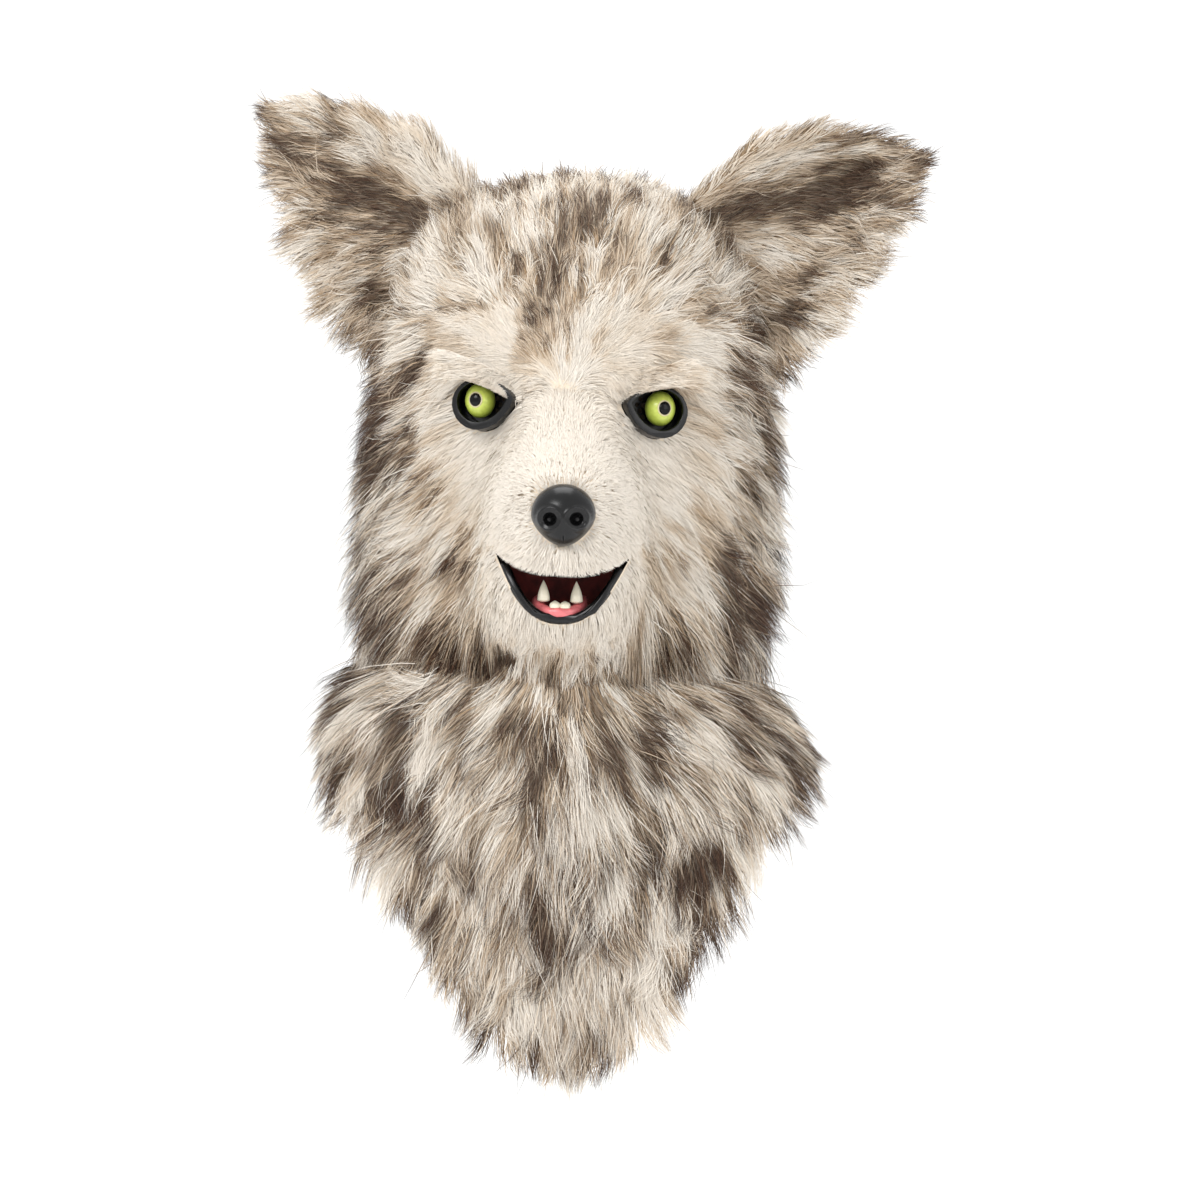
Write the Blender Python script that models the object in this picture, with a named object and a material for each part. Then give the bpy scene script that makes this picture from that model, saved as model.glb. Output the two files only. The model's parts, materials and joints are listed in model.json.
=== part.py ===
"""Wolf mask: a hollow fur head with a hanging bib, as it sits on the wearer.

Metres, +Z up. The mask faces -Y, and +X is at the viewer's right. The origin is
the crown seat, the inside of the hood at its top, where the head carries it.
A point of the skin is found from an angle round the vertical axis, 0 at the
face, and a station: 0 at the crown, 1 at the neck, 2 at the hem.
"""

import math
import random
from collections import namedtuple

import bmesh
import bpy
from mathutils import Matrix, Vector

# Fits
GAP = 0.0004
SEAT_GAP = 0.0003

# Hood
CLOTH_WALL = 0.003
HEAD_DROP = 0.290
HEAD_HALF_WIDTH = 0.106
FACE_DEPTH = 0.112
BACK_DEPTH = 0.104
HEAD_ROLL = math.radians(2.6)
ROLL_CENTRE_DROP = 0.200
ROLL_FADE = 0.070

# Muzzle
MUZZLE_REACH = 0.098
MUZZLE_HALF_WIDTH = 0.047
MUZZLE_SQUARENESS = 3.0
CHEEK_BLEND = 8.0

# Bib and neck
BIB_DROP = 0.240
BIB_REACH = 0.146
SHOULDER_REACH = 0.140
NAPE_DROP = 0.110

# Fur
HEAD_PILE = 0.017
BIB_PILE = 0.019
FACE_PILE = 0.005
SEAM_PILE = 0.006
BROW_PILE = 0.010
LOCK_RISE = 0.013
LOCK_LEAN = 0.014
HEM_LOCK = 0.024
FACE_HALF_ANGLE = math.radians(52.0)
FACE_TOP_STATION = 0.30
FACE_LOW_STATION = 0.945
LOCK_SEED = 11

# Ears
EAR_WALL = 0.011
EAR_TUFT = 0.012
EAR_FUR_CLEARANCE = 0.0050
EAR_SINK = 0.0030
EAR_END = 0.97
EAR_ROWS = 8
EAR_COLUMNS = 8

# Eyes
EYE_SPREAD = 0.0536
EYE_DROP = 0.1341
EYE_SET_BACK = 0.1045
EYE_YAW = math.radians(20.0)
EYE_OUTER = 0.0165
EYE_INNER = 0.0230
EYE_TOP = 0.0148
EYE_BOTTOM = 0.0165
EYE_INNER_POINT = 1.45
EYE_SLANT = math.radians(-7.0)
RIM_WALL = 0.0034
RIM_BORE_RISE = 0.0012
RIM_DEPTH = 0.0190
RIM_STAND = 0.0060
NET_THICK = 0.0010
NET_HOLE = 0.0016
NET_PITCH = 0.0041
NET_EDGE = 0.0013
NET_HIDDEN_FROM = -0.0055
BALL_HALF_WIDTH = 0.0092
BALL_HALF_HEIGHT = 0.0106
BALL_DEPTH = 0.0090
BALL_OUTWARD = 0.0011
BALL_RISE = 0.0016
PUPIL_RADIUS = 0.0034
PUPIL_RISE = 0.0008
IRIS_RING_WIDTH = 0.0009
PUPIL_RECESS = 0.0009
FRONT_CUT = 0.080

# Nose
NOSE_HALF_WIDTH = 0.0192
NOSE_HALF_HEIGHT = 0.0180
NOSE_HALF_DEPTH = 0.0165
NOSE_DROP = 0.2012
NOSTRIL_SPREAD = 0.0080
NOSTRIL_HALF_WIDTH = 0.0042
NOSTRIL_HALF_HEIGHT = 0.0034
NOSTRIL_DEPTH = 0.0070
NOSE_CLEFT = 0.0013

# Mouth
MOUTH_HALF_WIDTH = 0.0415
MOUTH_CORNER_DROP = 0.2200
MOUTH_DROP = 0.0440
UPPER_LIP_SAG = 0.0140
LIP_WALL = 0.0048
LIP_ROUNDNESS = 2.5
LIP_SLOPE = 1.2
LIP_END_STEPS = 4
LIP_STAND = 0.0015
JAW_FLOOR = 0.0090
MOUTH_DEPTH_END = 0.1240
LINER_WALL = 0.0015

# Teeth
GUM_HALF_WIDTH = 0.0122
GUM_REACH = 0.0060
GUM_WIDTH = 0.0055
GUM_HEIGHT = 0.0028
GUM_LENGTH = 0.0290
CANINE_HEIGHT = 0.0130
CANINE_RADIUS = 0.0033
REAR_TOOTH_HEIGHT = 0.0100
REAR_TOOTH_RADIUS = 0.0019
INCISOR_HEIGHT = 0.0045
INCISOR_RADIUS = 0.0026

Section = namedtuple("Section", "station width front back")
Snout = namedtuple("Snout", "station reach width")
Hem = namedtuple("Hem", "angle drop reach")
Ear = namedtuple(
    "Ear", "name side reach rise set_back upper_bow lower_bow cup curl base_top base_low base_back")
Tooth = namedtuple("Tooth", "name height radius side along")

# Lengths are shares: station of HEAD_DROP, width of HEAD_HALF_WIDTH, front of
# FACE_DEPTH, back of BACK_DEPTH.
HEAD_SECTIONS = (
    Section(0.00, 0.00, 0.00, 0.00),
    Section(0.03, 0.38, 0.38, 0.42),
    Section(0.10, 0.67, 0.70, 0.73),
    Section(0.20, 0.86, 0.89, 0.90),
    Section(0.32, 0.96, 0.98, 0.98),
    Section(0.45, 1.00, 1.00, 1.00),
    Section(0.60, 1.01, 0.97, 0.97),
    Section(0.75, 1.00, 0.93, 0.92),
    Section(0.88, 0.97, 0.88, 0.86),
    Section(1.00, 0.95, 0.85, 0.83),
)

# Shares of MUZZLE_REACH and MUZZLE_HALF_WIDTH.
SNOUT_SECTIONS = (
    Snout(0.36, 0.00, 0.60),
    Snout(0.42, 0.08, 0.62),
    Snout(0.48, 0.20, 0.66),
    Snout(0.54, 0.42, 0.74),
    Snout(0.59, 0.70, 0.84),
    Snout(0.63, 0.93, 0.92),
    Snout(0.70, 1.00, 1.00),
    Snout(0.78, 0.98, 1.04),
    Snout(0.84, 0.90, 1.04),
    Snout(0.90, 0.80, 1.00),
    Snout(0.945, 0.66, 0.92),
    Snout(0.97, 0.46, 0.86),
    Snout(1.00, 0.26, 0.80),
)

# Angle in degrees from the face, drop as a share of BIB_DROP in front and of
# NAPE_DROP behind 90 degrees, reach as a share of BIB_REACH or SHOULDER_REACH.
HEM_SECTIONS = (
    Hem(0, 1.00, 1.00),
    Hem(18, 0.86, 1.02),
    Hem(32, 0.62, 1.05),
    Hem(46, 0.40, 1.08),
    Hem(65, 0.24, 1.06),
    Hem(90, 0.17, 1.00),
    Hem(130, 0.70, 0.92),
    Hem(180, 1.00, 0.84),
)

# Reach and rise of the tip from the axis and the crown, and where the root
# starts and ends down the head, in metres; bow, cup and curl in metres too.
EARS = (
    Ear("ear_left", -1, 0.190, 0.046, 0.030, 0.022, 0.018, 0.020, 0.010, 0.06, 0.37, 0.22),
    Ear("ear_right", 1, 0.206, 0.035, 0.020, 0.030, 0.010, 0.026, 0.022, 0.06, 0.38, 0.22),
)

TEETH = (
    Tooth("canine_left", CANINE_HEIGHT, CANINE_RADIUS, -0.79, 0.0070),
    Tooth("canine_right", CANINE_HEIGHT, CANINE_RADIUS, 0.79, 0.0070),
    Tooth("incisor_left", INCISOR_HEIGHT, INCISOR_RADIUS, -0.24, 0.0027),
    Tooth("incisor_right", INCISOR_HEIGHT, INCISOR_RADIUS, 0.24, 0.0027),
    Tooth("rear_tooth_left", REAR_TOOTH_HEIGHT, REAR_TOOTH_RADIUS, -0.88, 0.0180),
    Tooth("rear_tooth_right", REAR_TOOTH_HEIGHT, REAR_TOOTH_RADIUS, 0.88, 0.0180),
)

FRONT_STEP = 5.0
FRONT_LIMIT = 30.0
SIDE_STEP = 15.0
HEAD_STATIONS = (0.035, 0.10, 0.18, FACE_TOP_STATION, 0.38, 0.45, 0.52, 0.58, 0.63, 0.70, 0.78, 0.84,
                 0.90, FACE_LOW_STATION)
BIB_STATIONS = (0.97, 1.00, 1.10, 1.24, 1.42, 1.60, 1.80, 2.00)


def tidy_scene():
    """Remove what the scene holds and make the two collections."""
    for item in list(bpy.data.objects):
        bpy.data.objects.remove(item)
    for name in ("wolf_mask", "cutters"):
        collection = bpy.data.collections.new(name)
        bpy.context.scene.collection.children.link(collection)


def finish(name, colour, roughness, metallic=0.0):
    """A Principled material of one colour."""
    material = bpy.data.materials.get(name) or bpy.data.materials.new(name)
    material.use_nodes = True
    shader = material.node_tree.nodes["Principled BSDF"]
    shader.inputs["Base Color"].default_value = (*colour, 1.0)
    shader.inputs["Roughness"].default_value = roughness
    shader.inputs["Metallic"].default_value = metallic
    return material


def cloth():
    return finish("cream_cloth", (0.62, 0.56, 0.46), 0.95)


def grizzled_fur():
    return finish("grizzled_fur", (0.40, 0.34, 0.26), 0.95)


def cream_plush():
    return finish("cream_plush", (0.80, 0.75, 0.66), 0.95)


def black_vinyl():
    return finish("black_vinyl", (0.015, 0.015, 0.016), 0.30)


def add_object(name, bm, material, collection="wolf_mask"):
    """Turn a bmesh into an object of the mask, or a cutter."""
    mesh = bpy.data.meshes.new(name)
    bm.to_mesh(mesh)
    bm.free()
    item = bpy.data.objects.new(name, mesh)
    bpy.data.collections[collection].objects.link(item)
    if material is None:
        item.hide_render = True
        item.display_type = "WIRE"
    else:
        mesh.materials.append(material)
        mesh.shade_smooth()
        mesh.set_sharp_from_angle(angle=math.radians(40.0))
    return item


def cut(item, cutter, operation="DIFFERENCE"):
    """Cut an object with another, which stays in the cutters' collection."""
    modifier = item.modifiers.new(cutter.name, "BOOLEAN")
    modifier.operation = operation
    modifier.solver = "EXACT"
    modifier.object = cutter


def blend(low, high, share):
    return low + (high - low) * share


def ease(share):
    """Rise from 0 to 1 with level ends."""
    share = min(1.0, max(0.0, share))
    return share * share * (3.0 - 2.0 * share)


def read_row(rows, at):
    """A row of a table between two of its rows, by its first column."""
    if at <= rows[0][0]:
        return rows[0]
    for low, high in zip(rows, rows[1:]):
        if at <= high[0]:
            share = (at - low[0]) / (high[0] - low[0])
            return type(low)(*(blend(a, b, share) for a, b in zip(low, high)))
    return rows[-1]


def roll_head(point):
    """Tilt a point with the head; the bib and shoulders stay level."""
    level = -HEAD_DROP - ROLL_FADE
    turn = HEAD_ROLL * ease((point.z - level) / ROLL_FADE)
    arm = point.z + ROLL_CENTRE_DROP
    return Vector((point.x * math.cos(turn) + arm * math.sin(turn), point.y,
                   arm * math.cos(turn) - point.x * math.sin(turn) - ROLL_CENTRE_DROP))


def roll_mesh(item):
    """Tilt a finished piece with the head."""
    for vertex in item.data.vertices:
        vertex.co = roll_head(vertex.co)


def crown_height():
    return CLOTH_WALL


def head_radius(angle, station):
    """How far the head's skin stands from the axis, snout included."""
    row = read_row(HEAD_SECTIONS, station)
    width = row.width * HEAD_HALF_WIDTH
    front = row.front * FACE_DEPTH
    depth = front if math.cos(angle) >= 0.0 else row.back * BACK_DEPTH
    if width < 1e-6:
        return 0.0
    head = ((math.sin(angle) / width) ** 2 + (math.cos(angle) / depth) ** 2) ** -0.5
    snout = read_row(SNOUT_SECTIONS, station)
    if station < SNOUT_SECTIONS[0].station or math.cos(angle) <= 0.0:
        return head
    reach = FACE_DEPTH * row.front + snout.reach * MUZZLE_REACH
    beside = abs(math.sin(angle)) / (snout.width * MUZZLE_HALF_WIDTH)
    ahead = abs(math.cos(angle)) / reach
    bump = (beside ** MUZZLE_SQUARENESS + ahead ** MUZZLE_SQUARENESS) ** (-1.0 / MUZZLE_SQUARENESS)
    bump *= min(1.0, snout.reach * 5.0)
    return (head ** CHEEK_BLEND + bump ** CHEEK_BLEND) ** (1.0 / CHEEK_BLEND)


def skin(angle, station):
    """A point of the skin, before the head is tilted."""
    angle = (angle + math.pi) % (2.0 * math.pi) - math.pi
    if station <= 1.0:
        radius = head_radius(angle, station)
        height = crown_height() - station * HEAD_DROP
    else:
        degrees = abs(math.degrees(angle))
        hem = read_row(HEM_SECTIONS, degrees)
        share = station - 1.0
        side = ease((degrees - 20.0) / 70.0)
        reach = hem.reach * blend(BIB_REACH, SHOULDER_REACH, side)
        drop = hem.drop * blend(BIB_DROP, NAPE_DROP, ease((degrees - 90.0) / 40.0))
        spread = blend(share, math.sin(share * math.pi / 2.0), 0.75)
        radius = blend(head_radius(angle, 1.0), reach, spread)
        height = crown_height() - HEAD_DROP - share * drop
    return Vector((radius * math.sin(angle), -radius * math.cos(angle), height))


def outward(angle, station):
    """The skin's outward direction."""
    small = 0.015
    across = skin(angle + small, station) - skin(angle - small, station)
    down = skin(angle, station + small) - skin(angle, max(station - small, 0.001))
    return across.cross(down).normalized() * -1.0


def skin_depth(x, station):
    """The skin's y at a place of the front view."""
    low, high = 0.0, math.radians(88.0)
    for _ in range(30):
        middle = (low + high) / 2.0
        if skin(middle, station).x < abs(x):
            low = middle
        else:
            high = middle
    return skin(low, station).y


def ring_angles():
    """Angles round the head, close together over the muzzle."""
    angles = []
    degrees = -FRONT_LIMIT
    while degrees < FRONT_LIMIT - 0.01:
        angles.append(math.radians(degrees))
        degrees += FRONT_STEP
    while degrees < 360.0 - FRONT_LIMIT - 0.01:
        angles.append(math.radians(degrees))
        degrees += SIDE_STEP
    return angles


def signed(angle):
    return (angle + math.pi) % (2.0 * math.pi) - math.pi


def draw_back(points, faces, seam):
    """Move the points of a seam a little towards the middle of their panel."""
    moved = dict(points)
    for place in seam:
        near = [other for face in faces if place in face for other in face if other not in seam]
        middle = sum((points[other] for other in near), Vector()) / len(near)
        moved[place] = points[place] + (middle - points[place]).normalized() * 2.0 * GAP
    return moved


def halves(face):
    """A net's face as two triangles, parted so that every second place can be a peak."""
    if len(face) == 3:
        return [face]
    first, second, third, fourth = face
    if (first[0] + first[1]) % 2:
        return [(first, second, third), (first, third, fourth)]
    return [(second, third, fourth), (second, fourth, first)]


def thicken(name, places, faces, outer, inner, material, seam=()):
    """A closed shell from a net of places: its outer and inner faces and its edges."""
    bm = bmesh.new()
    used = sorted({place for face in faces for place in face})
    tops = draw_back({place: outer(*places[place], place) for place in used}, faces, seam)
    lows = draw_back({place: inner(*places[place], place) for place in used}, faces, seam)
    tops = {place: bm.verts.new(point) for place, point in tops.items()}
    lows = {place: bm.verts.new(point) for place, point in lows.items()}
    edges = {}
    for face in (corners for face in faces for corners in halves(face)):
        bm.faces.new([tops[place] for place in face])
        bm.faces.new([lows[place] for place in reversed(face)])
        for start, end in zip(face, face[1:] + face[:1]):
            key = frozenset((start, end))
            edges.setdefault(key, []).append((start, end))
    for pairs in edges.values():
        if len(pairs) == 1:
            start, end = pairs[0]
            bm.faces.new((tops[end], tops[start], lows[start]))
            bm.faces.new((tops[end], lows[start], lows[end]))
    bmesh.ops.recalc_face_normals(bm, faces=bm.faces)
    item = add_object(name, bm, material, "wolf_mask" if material else "cutters")
    roll_mesh(item)
    return item


def skin_net(stations, closed_top=False):
    """Places and faces of the rings at some stations, and a crown if asked."""
    angles = ring_angles()
    count = len(angles)
    first = (HEAD_STATIONS + BIB_STATIONS).index(stations[0])
    places = {}
    for row, station in enumerate(stations, first):
        for column, angle in enumerate(angles):
            places[(row, column)] = (angle, station)
    faces = []
    for row in range(first, first + len(stations) - 1):
        for column in range(count):
            after = (column + 1) % count
            faces.append(((row, column), (row + 1, column), (row + 1, after), (row, after)))
    if closed_top:
        places[(-1, 0)] = (0.0, 0.0)
        for column in range(count):
            faces.append(((-1, 0), (0, column), (0, (column + 1) % count)))
    return places, faces


def face_middle(face, places):
    """The middle of a net's face, as a signed angle and a station."""
    first = places[face[-1]][0]
    angles = [first + signed(places[place][0] - first) for place in face]
    return signed(sum(angles) / len(face)), sum(places[place][1] for place in face) / len(face)


def offset_point(angle, station, rise):
    if station == 0.0:
        return Vector((0.0, 0.0, crown_height() + rise))
    return skin(angle, station) + outward(angle, station) * rise


def level_point(angle, station, rise):
    """A place straight out from the skin, for the seam between two panels."""
    return skin(angle, station) + Vector((math.sin(angle), -math.cos(angle), 0.0)) * rise


def make_hood():
    """The cloth wall of the head, neck and bib, open at the neck."""
    places, faces = skin_net(HEAD_STATIONS + BIB_STATIONS, closed_top=True)
    return thicken("hood", places, faces,
                   lambda angle, station, place: offset_point(angle, station, 0.0),
                   lambda angle, station, place: offset_point(angle, station, -CLOTH_WALL),
                   cloth())


def in_face(angle, station):
    return abs(angle) < FACE_HALF_ANGLE and FACE_TOP_STATION < station < FACE_LOW_STATION


def ear_root(ear, across):
    """A point of an ear's root: across runs from -1 above to 1 below."""
    station = blend(ear.base_top, ear.base_low, (across + 1.0) / 2.0)
    angle = ear.side * (math.radians(84.0) + ear.base_back * (1.0 - across * across))
    return angle, station


def lock_point(angle, station, place, pile, rng, last):
    """A point of the fur's outer face: every second one is the tip of a lock."""
    row, column = place
    if station == 0.0:
        return offset_point(angle, station, pile)
    tip = (row + column) % 2 == 0
    normal = outward(angle, station)
    point = skin(angle, station) + normal * pile
    if not tip:
        return point - normal * LOCK_RISE * 0.3
    small = 0.01
    down = (skin(angle, min(station + small, 2.0)) - skin(angle, station - small)).normalized()
    upward = -1.0 if abs(signed(angle)) < FACE_HALF_ANGLE and station < FACE_TOP_STATION else 1.0
    size = rng.uniform(0.75, 1.15)
    lean = HEM_LOCK if last else LOCK_LEAN
    return point + normal * LOCK_RISE * size * 0.6 + down * lean * size * upward


def border_places(faces):
    """The places on the free border of a net."""
    counts = {}
    for face in faces:
        for start, end in zip(face, face[1:] + face[:1]):
            key = frozenset((start, end))
            counts[key] = counts.get(key, 0) + 1
    return {place for key, times in counts.items() if times == 1 for place in key}


def make_head_fur():
    """The long fur of the crown, sides and back, in locks on its backing."""
    rng = random.Random(LOCK_SEED)
    places, faces = skin_net(HEAD_STATIONS, closed_top=True)
    kept = []
    for face in faces:
        angle, station = face_middle(face, places)
        if not in_face(angle, station):
            kept.append(face)
    border = border_places(kept)

    def outer(angle, station, place):
        if station == FACE_LOW_STATION:
            return level_point(angle, station, SEAM_PILE)
        if place in border:
            return offset_point(angle, station, SEAM_PILE)
        return lock_point(angle, station, place, HEAD_PILE, rng, False)

    return thicken("head_fur", places, kept, outer,
                   lambda angle, station, place: offset_point(angle, station, GAP),
                   grizzled_fur())


def make_face_fur():
    """The short plush of the forehead, cheeks and muzzle."""
    stations = HEAD_STATIONS[HEAD_STATIONS.index(FACE_TOP_STATION):]
    places, faces = skin_net(stations)
    kept = [face for face in faces if in_face(*face_middle(face, places))]
    def outer(angle, station, place):
        if station == FACE_LOW_STATION:
            return level_point(angle, station, SEAM_PILE)
        plush = ease(abs(signed(angle)) / math.radians(30.0)) + ease((0.55 - station) / 0.12)
        return offset_point(angle, station, blend(FACE_PILE, BROW_PILE, min(1.0, plush)))

    return thicken("face_fur", places, kept, outer,
                   lambda angle, station, place: offset_point(angle, station, GAP),
                   cream_plush(), border_places(kept))


def make_bib_fur():
    """The long fur of the neck and bib, with locks hanging past the hem."""
    rng = random.Random(LOCK_SEED + 1)
    stations = (FACE_LOW_STATION,) + BIB_STATIONS
    places, faces = skin_net(stations)
    seam = {place for place, (angle, station) in places.items() if station == FACE_LOW_STATION}

    def outer(angle, station, place):
        if place in seam:
            return level_point(angle, station, SEAM_PILE)
        return lock_point(angle, station, place, BIB_PILE, rng, station == BIB_STATIONS[-1])

    return thicken("bib_fur", places, faces, outer,
                   lambda angle, station, place: offset_point(angle, station, GAP),
                   grizzled_fur(), seam)


def ear_point(ear, along, across):
    """A point of an ear's middle sheet, from root to tip and edge to edge."""
    root = skin(*ear_root(ear, across)) + outward(*ear_root(ear, across)) * GAP
    top = skin(*ear_root(ear, -1.0))
    low = skin(*ear_root(ear, 1.0))
    tip = Vector((ear.side * ear.reach, ear.set_back, ear.rise))
    above = top.lerp(tip, along) + Vector((0.0, 0.0, 1.0)) * ear.upper_bow * math.sin(along * math.pi)
    out = Vector((ear.side * 0.8, 0.0, -0.6))
    below = low.lerp(tip, along) + out * ear.lower_bow * math.sin(along * math.pi)
    sheet = above.lerp(below, (across + 1.0) / 2.0)
    hollow = math.sin(min(1.0, along * 1.15) * math.pi) * 0.6 + 0.4 * (1.0 - along)
    sheet.y += ear.cup * (1.0 - across * across) * hollow
    rolled = max(0.0, -across - 0.45) / 0.55
    sheet.y -= ear.curl * rolled * rolled * math.sin(min(1.0, along + 0.08) * math.pi)
    seat = max(0.0, 1.0 - along) ** 2.5 if along > 0.0 else 1.0
    base = top.lerp(low, (across + 1.0) / 2.0)
    base.y += ear.cup * (1.0 - across * across) * 0.4
    return sheet + (root - base) * seat


def ear_front(ear, along, across):
    """The direction that an ear's hollow side faces."""
    small = 0.02
    ahead = ear_point(ear, along + small, across) - ear_point(ear, along - small, across)
    beside = ear_point(ear, along, across + small) - ear_point(ear, along, across - small)
    normal = ahead.cross(beside).normalized()
    return normal if normal.y < 0.0 else normal * -1.0


def ear_net(start, end, reach):
    """Places and faces over an ear, from near its root to near its tip."""
    places = {}
    for row in range(EAR_ROWS + 1):
        for column in range(EAR_COLUMNS + 1):
            along = blend(start, end, row / EAR_ROWS)
            places[(row, column)] = (along, (column / EAR_COLUMNS * 2.0 - 1.0) * reach)
    faces = [((row, column), (row + 1, column), (row + 1, column + 1), (row, column + 1))
             for row in range(EAR_ROWS) for column in range(EAR_COLUMNS)]
    return places, faces


def make_ear_seat():
    """A cutter that trims the ears' roots to the hood's faceted skin."""
    places, faces = skin_net(HEAD_STATIONS, closed_top=True)
    return thicken("cut_ear_seat", places, faces,
                   lambda angle, station, place: offset_point(angle, station, GAP),
                   lambda angle, station, place: offset_point(angle, station, -4.0 * CLOTH_WALL), None)


def make_ear(ear, fur, seat):
    """A cupped ear with tufted edges, seated on the hood in a slot of the fur."""
    places, faces = ear_net(0.0, EAR_END, 1.0)

    def sheet(along, across, place, side):
        row, column = place
        point = ear_point(ear, along, across)
        if row == 0:
            angle, station = ear_root(ear, across)
            angle -= ear.side * side * EAR_WALL * 0.5 / HEAD_HALF_WIDTH
            return skin(angle, station) + outward(angle, station) * -EAR_SINK
        point += ear_front(ear, along, across) * EAR_WALL * 0.5 * blend(1.0, 0.45, along) * side
        if column in (0, EAR_COLUMNS) and row > 2:
            away = ear_point(ear, along, across) - ear_point(ear, along, across * 0.7)
            point += away.normalized() * EAR_TUFT * (1.0 if row % 2 else 0.25)
        if row == EAR_ROWS:
            ahead = ear_point(ear, EAR_END, 0.0) - ear_point(ear, 0.85, 0.0)
            point += ahead.normalized() * EAR_TUFT * (1.0 if column % 2 else 0.3)
        return point

    item = thicken(ear.name, places, faces,
                   lambda along, across, place: sheet(along, across, place, 1.0),
                   lambda along, across, place: sheet(along, across, place, -1.0),
                   grizzled_fur())
    cut(item, seat)

    root = (skin(*ear_root(ear, -1.0)) - skin(*ear_root(ear, 1.0))).length
    places, faces = ear_net(-0.12, 0.50, 1.0 + 2.0 * EAR_FUR_CLEARANCE / root)
    half = EAR_WALL * 0.5 + EAR_FUR_CLEARANCE
    slot = thicken(f"cut_{ear.name}", places, faces,
                   lambda along, across, place: ear_point(ear, along, across)
                   + ear_front(ear, along, across) * half,
                   lambda along, across, place: ear_point(ear, along, across)
                   - ear_front(ear, along, across) * half, None)
    cut(fur, slot)


def eye_frame(side):
    """Axes of an eye: x outwards, y up the face, z out of the face."""
    yaw = side * EYE_YAW
    out = Vector((math.sin(yaw), -math.cos(yaw), 0.0))
    beside = Vector((side * math.cos(yaw), side * math.sin(yaw), 0.0))
    up = Vector((0.0, 0.0, 1.0))
    frame = Matrix((beside, up, out)).transposed().to_4x4()
    frame.translation = Vector((side * EYE_SPREAD, -EYE_SET_BACK, -EYE_DROP))
    return frame


def egg(grow, rise=0.0, count=24):
    """The outline of an eye's opening, round outside and pointed inside."""
    points = []
    for step in range(count):
        turn = 2.0 * math.pi * step / count
        cosine, sine = math.cos(turn), math.sin(turn)
        width = EYE_OUTER if cosine >= 0.0 else EYE_INNER
        height = EYE_TOP if sine >= 0.0 else EYE_BOTTOM
        narrow = 1.0 if cosine >= 0.0 else (1.0 - abs(cosine) ** 2) ** ((EYE_INNER_POINT - 1.0) / 2.0)
        x = cosine * (width + grow)
        y = sine * (height * narrow + grow) + rise
        points.append((x * math.cos(EYE_SLANT) - y * math.sin(EYE_SLANT),
                       x * math.sin(EYE_SLANT) + y * math.cos(EYE_SLANT)))
    return points


def prism(outline, low, high):
    """A straight solid of an outline, from one height to another."""
    bm = bmesh.new()
    ring = [bm.verts.new((x, y, low)) for x, y in outline]
    face = bm.faces.new(ring)
    raised = bmesh.ops.extrude_face_region(bm, geom=[face])
    bmesh.ops.translate(bm, vec=(0.0, 0.0, high - low),
                        verts=[item for item in raised["geom"] if isinstance(item, bmesh.types.BMVert)])
    bmesh.ops.recalc_face_normals(bm, faces=bm.faces)
    return bm


def place_mesh(item, frame):
    """Move a mesh into its frame, faces outwards, and tilt it with the head."""
    item.data.transform(frame)
    if frame.determinant() < 0.0:
        item.data.flip_normals()
    roll_mesh(item)


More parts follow.
